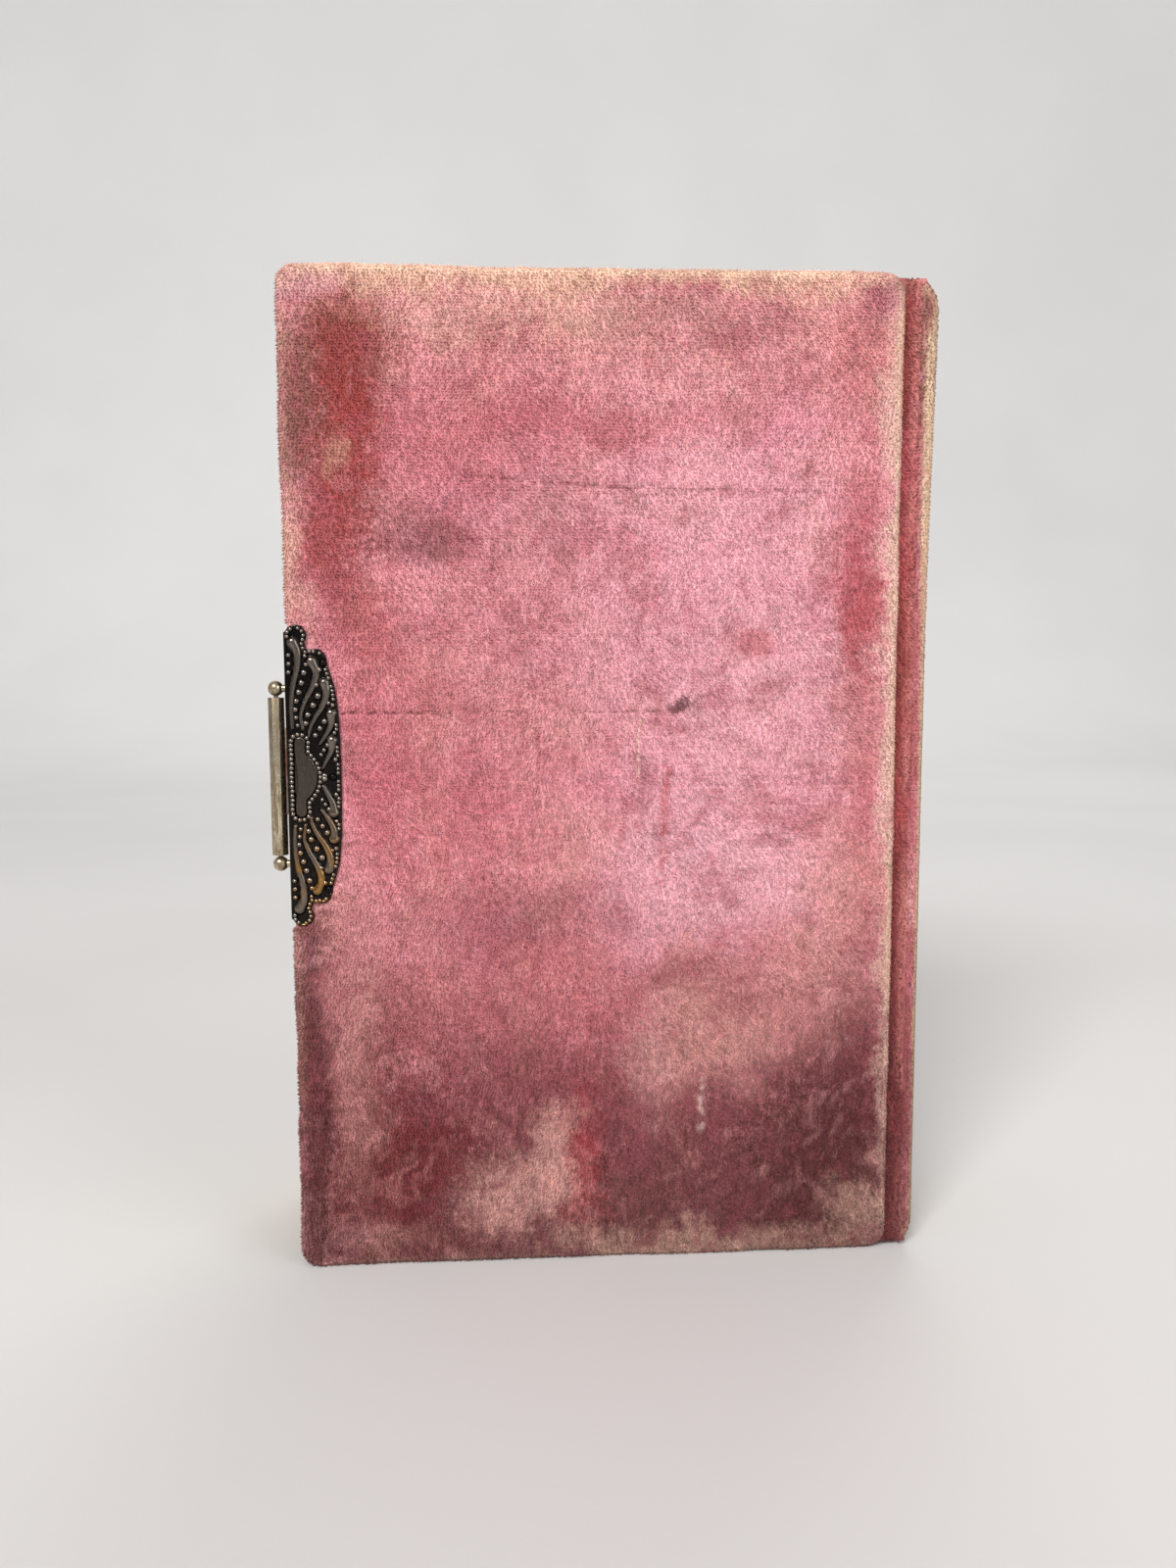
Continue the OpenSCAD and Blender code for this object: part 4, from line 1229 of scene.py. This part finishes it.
def clasp_beads(name, body, mirrored):
    """The small round beads pressed up out of a clasp plate."""
    bpy.ops.object.select_all(action="DESELECT")
    bpy.ops.mesh.primitive_uv_sphere_add(segments=7, ring_count=5, rotation=(math.pi / 2, 0, 0))
    bpy.ops.object.transform_apply(rotation=True)
    bead = bpy.context.object
    grain = get_points(bead)
    faces = [tuple(face.vertices) for face in bead.data.polygons]
    bpy.data.objects.remove(bead)
    places = bead_places()
    out_y = REAR_Y - PLATE_T - BEAD_SINK
    points = np.concatenate([
        grain * (r * BEAD_SCALE) + (bx + FORE_X, out_y, bz + CLASP_Z) for bx, bz, r in places
    ])
    x, y, z = points.T
    piece = join_copies(name, x, -y if mirrored else y, z, faces, len(places), mirrored)
    # A painted highlight on each bead's upper, outer side, held in the relief attribute
    towards_light = 0.55 + 0.55 * np.clip(0.75 * grain[:, 2] - 0.65 * grain[:, 1], -1, 1)
    set_attribute(piece, "relief", np.tile(towards_light, len(places)))
    piece = finished(name, plate_metal)
    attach(piece, body)


def clasp_ornament(name, node, body, mirrored):
    """A clasp plate: sheet metal bent round the fore-edge, cut to its outline and pressed."""
    step = 0.3 if mirrored else 0.2
    bend = EDGE_R + PLATE_T
    arc = bend * math.pi / 2
    wrap_end = EDGE_R - arc - (PLATE_WRAP - EDGE_R)
    width, tall = PLATE_W + 1 - wrap_end, 2 * PLATE_HALF_H + 2
    piece, s, z = new_grid(width, tall, step)
    s = s + wrap_end + width / 2
    angle = np.clip((EDGE_R - s) / bend, 0, math.pi / 2)
    x_seen = np.where(s > EDGE_R, s, EDGE_R - bend * np.sin(angle))
    rim = rim_distance(x_seen - np.clip(EDGE_R - arc - s, 0, None), z)

    keep = rim < 0.6 * step
    bpy.ops.object.mode_set(mode="EDIT")
    bpy.ops.mesh.select_all(action="DESELECT")
    bpy.ops.object.mode_set(mode="OBJECT")
    piece.data.vertices.foreach_set("select", ~keep)
    bpy.ops.object.mode_set(mode="EDIT")
    bpy.ops.mesh.delete(type="VERT")
    bpy.ops.object.mode_set(mode="OBJECT")
    s, z, rim, x_seen = s[keep], z[keep], rim[keep], x_seen[keep]
    # The points nearest the outline are drawn onto it
    small = 0.01
    slope_s = (rim_distance(x_seen + small, z) - rim_distance(x_seen - small, z)) / (2 * small)
    slope_z = (rim_distance(x_seen, z + small) - rim_distance(x_seen, z - small)) / (2 * small)
    pull = np.where(np.abs(rim) < 0.6 * step, rim, 0)
    s, z = s - pull * slope_s, z - pull * slope_z

    flat = np.clip(s / 0.6, 0, 1)
    height = pressed_height(np.maximum(s, -0.2), z) * flat
    ridge = 0.5 * np.exp(-(((s + 0.5) / 0.35) ** 2))
    height = np.maximum(height, ridge)
    lift = PRESS_H * height
    # Slopes that face up get a painted highlight, held in the relief attribute with the pressed height
    above, below = (pressed_height(np.maximum(s, -0.2), z + step) for step in (0.15, -0.15))
    highlight_facing_up = np.clip(1.6 * (below - above), -1, 1) * flat
    angle = np.clip((EDGE_R - s) / bend, 0, math.pi / 2)
    down = np.clip(EDGE_R - arc - s, 0, None)
    x = np.where(s > EDGE_R, s, EDGE_R - (bend + lift) * np.sin(angle))
    depth = np.where(s > EDGE_R, -PLATE_T - lift, EDGE_R - (bend + lift) * np.cos(angle)) + down
    y = REAR_Y + depth
    set_points(piece, x + FORE_X, -y if mirrored else y, z + CLASP_Z)
    on_medallion = np.clip(-medallion_distance(s, z) / 0.3, 0, 1) * flat
    set_attribute(piece, "relief", height * (0.62 + 0.16 * on_medallion) + 0.5 * highlight_facing_up)
    if mirrored:
        turn_faces(piece)
    sheet = piece.modifiers.new("sheet", "SOLIDIFY")
    sheet.thickness = 0.35 * MM
    sheet.offset = -1
    bpy.ops.object.modifier_apply(modifier=sheet.name)
    piece = finished(name, plate_metal)
    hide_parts(node)
    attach(piece, body)
    return piece


def softened(node, name, material, body, width):
    """A copy of a CAD part with its sharp edges taken off."""
    bpy.ops.object.select_all(action="DESELECT")
    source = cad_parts[node]
    piece = source.copy()
    piece.data = source.data.copy()
    bpy.context.scene.collection.objects.link(piece)
    piece.hide_render = False
    bpy.context.view_layer.objects.active = piece
    piece.select_set(True)
    bpy.ops.object.mode_set(mode="EDIT")
    bpy.ops.mesh.select_all(action="SELECT")
    bpy.ops.mesh.remove_doubles(threshold=0.001 * MM)
    bpy.ops.mesh.dissolve_limited(angle_limit=math.radians(1))
    bpy.ops.object.mode_set(mode="OBJECT")
    edge = piece.modifiers.new("edge", "BEVEL")
    edge.width = width * MM
    edge.segments = 2
    edge.limit_method = "ANGLE"
    edge.angle_limit = math.radians(30)
    bpy.ops.object.modifier_apply(modifier=edge.name)
    bpy.ops.object.shade_smooth_by_angle(angle=math.radians(25))
    piece = finished(name, material, smooth=False)
    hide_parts(node)
    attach(piece, body)
    return piece


# Metal and paper on the pieces that keep their own shape
plate_metal = metal_material(
    "dark pressed metal", colour(38, 35, 34), colour(24, 22, 21), colour(12, 11, 10), 0.6,
    crest=colour(118, 108, 100), brass=colour(158, 118, 68), rough=0.16,
)
clasp_metal = metal_material(
    "worn plated brass", colour(206, 196, 174), colour(128, 102, 66), colour(70, 58, 44), 0.85,
    rough=0.24,
)
steel = metal_material("wire", colour(140, 138, 132), colour(96, 90, 82), colour(60, 56, 50), 0.5)
leaves = leaf_material()
endpaper = paper_material("cream endpaper", colour(222, 208, 178), colour(190, 154, 110))
card = paper_material("raw card", colour(150, 128, 96), colour(110, 90, 64))
cloth = paper_material("lining cloth", colour(206, 194, 168), colour(160, 140, 108))

clasp_ornament("rear_clasp_ornament", "rear_clasp_plate", "rear_cover", False)
clasp_ornament("front_clasp_ornament", "front_clasp_plate", "front_cover", True)
clasp_beads("rear_clasp_beads", "rear_cover", False)
clasp_beads("front_clasp_beads", "front_cover", True)
softened("hasp", "hasp_softened", clasp_metal, "hasp", 0.16)

FINISHES = {
    "page_block": leaves, "spine_lining": cloth, "spine_card": card,
    "rear_card": card, "rear_paper": endpaper,
    "rear_clasp_nails": plate_metal, "hinge_pin": steel, "upper_finial": clasp_metal,
    "lower_finial": clasp_metal, "front_card": card, "front_paper": endpaper,
    "front_clasp_nails": plate_metal,
    "catch": clasp_metal, "catch_rivets": clasp_metal,
}
for node, material in FINISHES.items():
    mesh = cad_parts[node].data
    mesh.materials.clear()
    mesh.materials.append(material)


# The floor's size and shift, its backdrop's height and the radius of its sweep, in metres
FLOOR_SIZE = (16, 9)
FLOOR_SHIFT = -2.3
BACKDROP_H = 3
SWEEP_R = 0.8


def studio():
    """A pale floor that sweeps up into a backdrop."""
    bpy.ops.object.select_all(action="DESELECT")
    bpy.ops.mesh.primitive_plane_add(size=1, location=(0, 0, 0))
    bpy.ops.transform.resize(value=(*FLOOR_SIZE, 1))
    bpy.ops.transform.translate(value=(0, FLOOR_SHIFT, 0))
    floor = bpy.context.object
    bpy.ops.object.transform_apply(location=True, rotation=True, scale=True)
    bpy.ops.object.mode_set(mode="EDIT")
    bpy.ops.mesh.select_all(action="DESELECT")
    bpy.ops.object.mode_set(mode="OBJECT")
    back = max(v.co.y for v in floor.data.vertices)
    for edge in floor.data.edges:
        edge.select = all(floor.data.vertices[i].co.y > back - 0.01 for i in edge.vertices)
    bpy.ops.object.mode_set(mode="EDIT")
    bpy.ops.mesh.select_mode(type="EDGE")
    bpy.ops.mesh.extrude_region_move(TRANSFORM_OT_translate={"value": (0, 0, BACKDROP_H)})
    bpy.ops.object.mode_set(mode="OBJECT")
    sweep = floor.modifiers.new("sweep", "BEVEL")
    sweep.width = SWEEP_R
    sweep.segments = 16
    sweep.limit_method = "ANGLE"
    bpy.ops.object.modifier_apply(modifier=sweep.name)
    material, t, shader = new_material("pale studio paper")
    place = t.add("ShaderNodeTexCoord", out=3)
    grain = t.noise(place, 900.0, 2.0)
    cloudy = t.noise(place, 3.0, 2.0)
    tint = t.mix(t.ramp(cloudy, 0.3, 0.7), colour(224, 222, 219), colour(219, 217, 214))
    t.put(shader.inputs["Base Color"], tint)
    far = t.ramp(t.add("ShaderNodeSeparateXYZ", place, out=1), 0.3, 2.2)
    ray = t.tree.nodes.new("ShaderNodeLightPath")
    seen = t.math("MAXIMUM", ray.outputs["Is Camera Ray"], ray.outputs["Is Glossy Ray"])
    seen = t.math("MAXIMUM", seen, ray.outputs["Is Transmission Ray"])
    lift = t.math("MULTIPLY", t.math("MULTIPLY", far, seen), 0.22)
    t.put(shader.inputs["Emission Color"], t.add("ShaderNodeCombineColor", lift, lift, lift))
    shader.inputs["Emission Strength"].default_value = 1.0
    bump = t.tree.nodes.new("ShaderNodeBump")
    bump.inputs["Strength"].default_value = 0.15
    bump.inputs["Distance"].default_value = 0.2 * MM
    t.put(bump.inputs["Height"], grain)
    t.put(shader.inputs["Normal"], bump.outputs["Normal"])
    shader.inputs["Roughness"].default_value = 0.85
    shader.inputs["Specular IOR Level"].default_value = 0.2
    floor = finished("studio_floor", material)


studio()


def lamp(name, place, target, size, power):
    data = bpy.data.lights.new(name, "AREA")
    data.size = size
    data.energy = power
    light = bpy.data.objects.new(name, data)
    light.location = place
    to = np.array(target) - np.array(place)
    flat = math.hypot(to[0], to[1])
    light.rotation_euler = (math.atan2(flat, -to[2]), 0, math.atan2(-to[0], to[1]))
    bpy.context.scene.collection.objects.link(light)


lamp("key", (-0.7, -1.5, 1.5), (0, 0, 0.14), 0.7, 32.0)
lamp("fill", (1.4, -1.3, 0.8), (0, 0, 0.13), 1.2, 10.0)
lamp("back", (0.4, 1.2, 1.5), (0, 0, 0.15), 1.0, 9.0)

world = bpy.data.worlds.new("studio")
world.use_nodes = True
bpy.context.scene.world = world
background = world.node_tree.nodes["Background"]
background.inputs["Color"].default_value = (0.9, 0.9, 0.92, 1)
background.inputs["Strength"].default_value = 0.45
bpy.context.scene.view_settings.view_transform = "Standard"
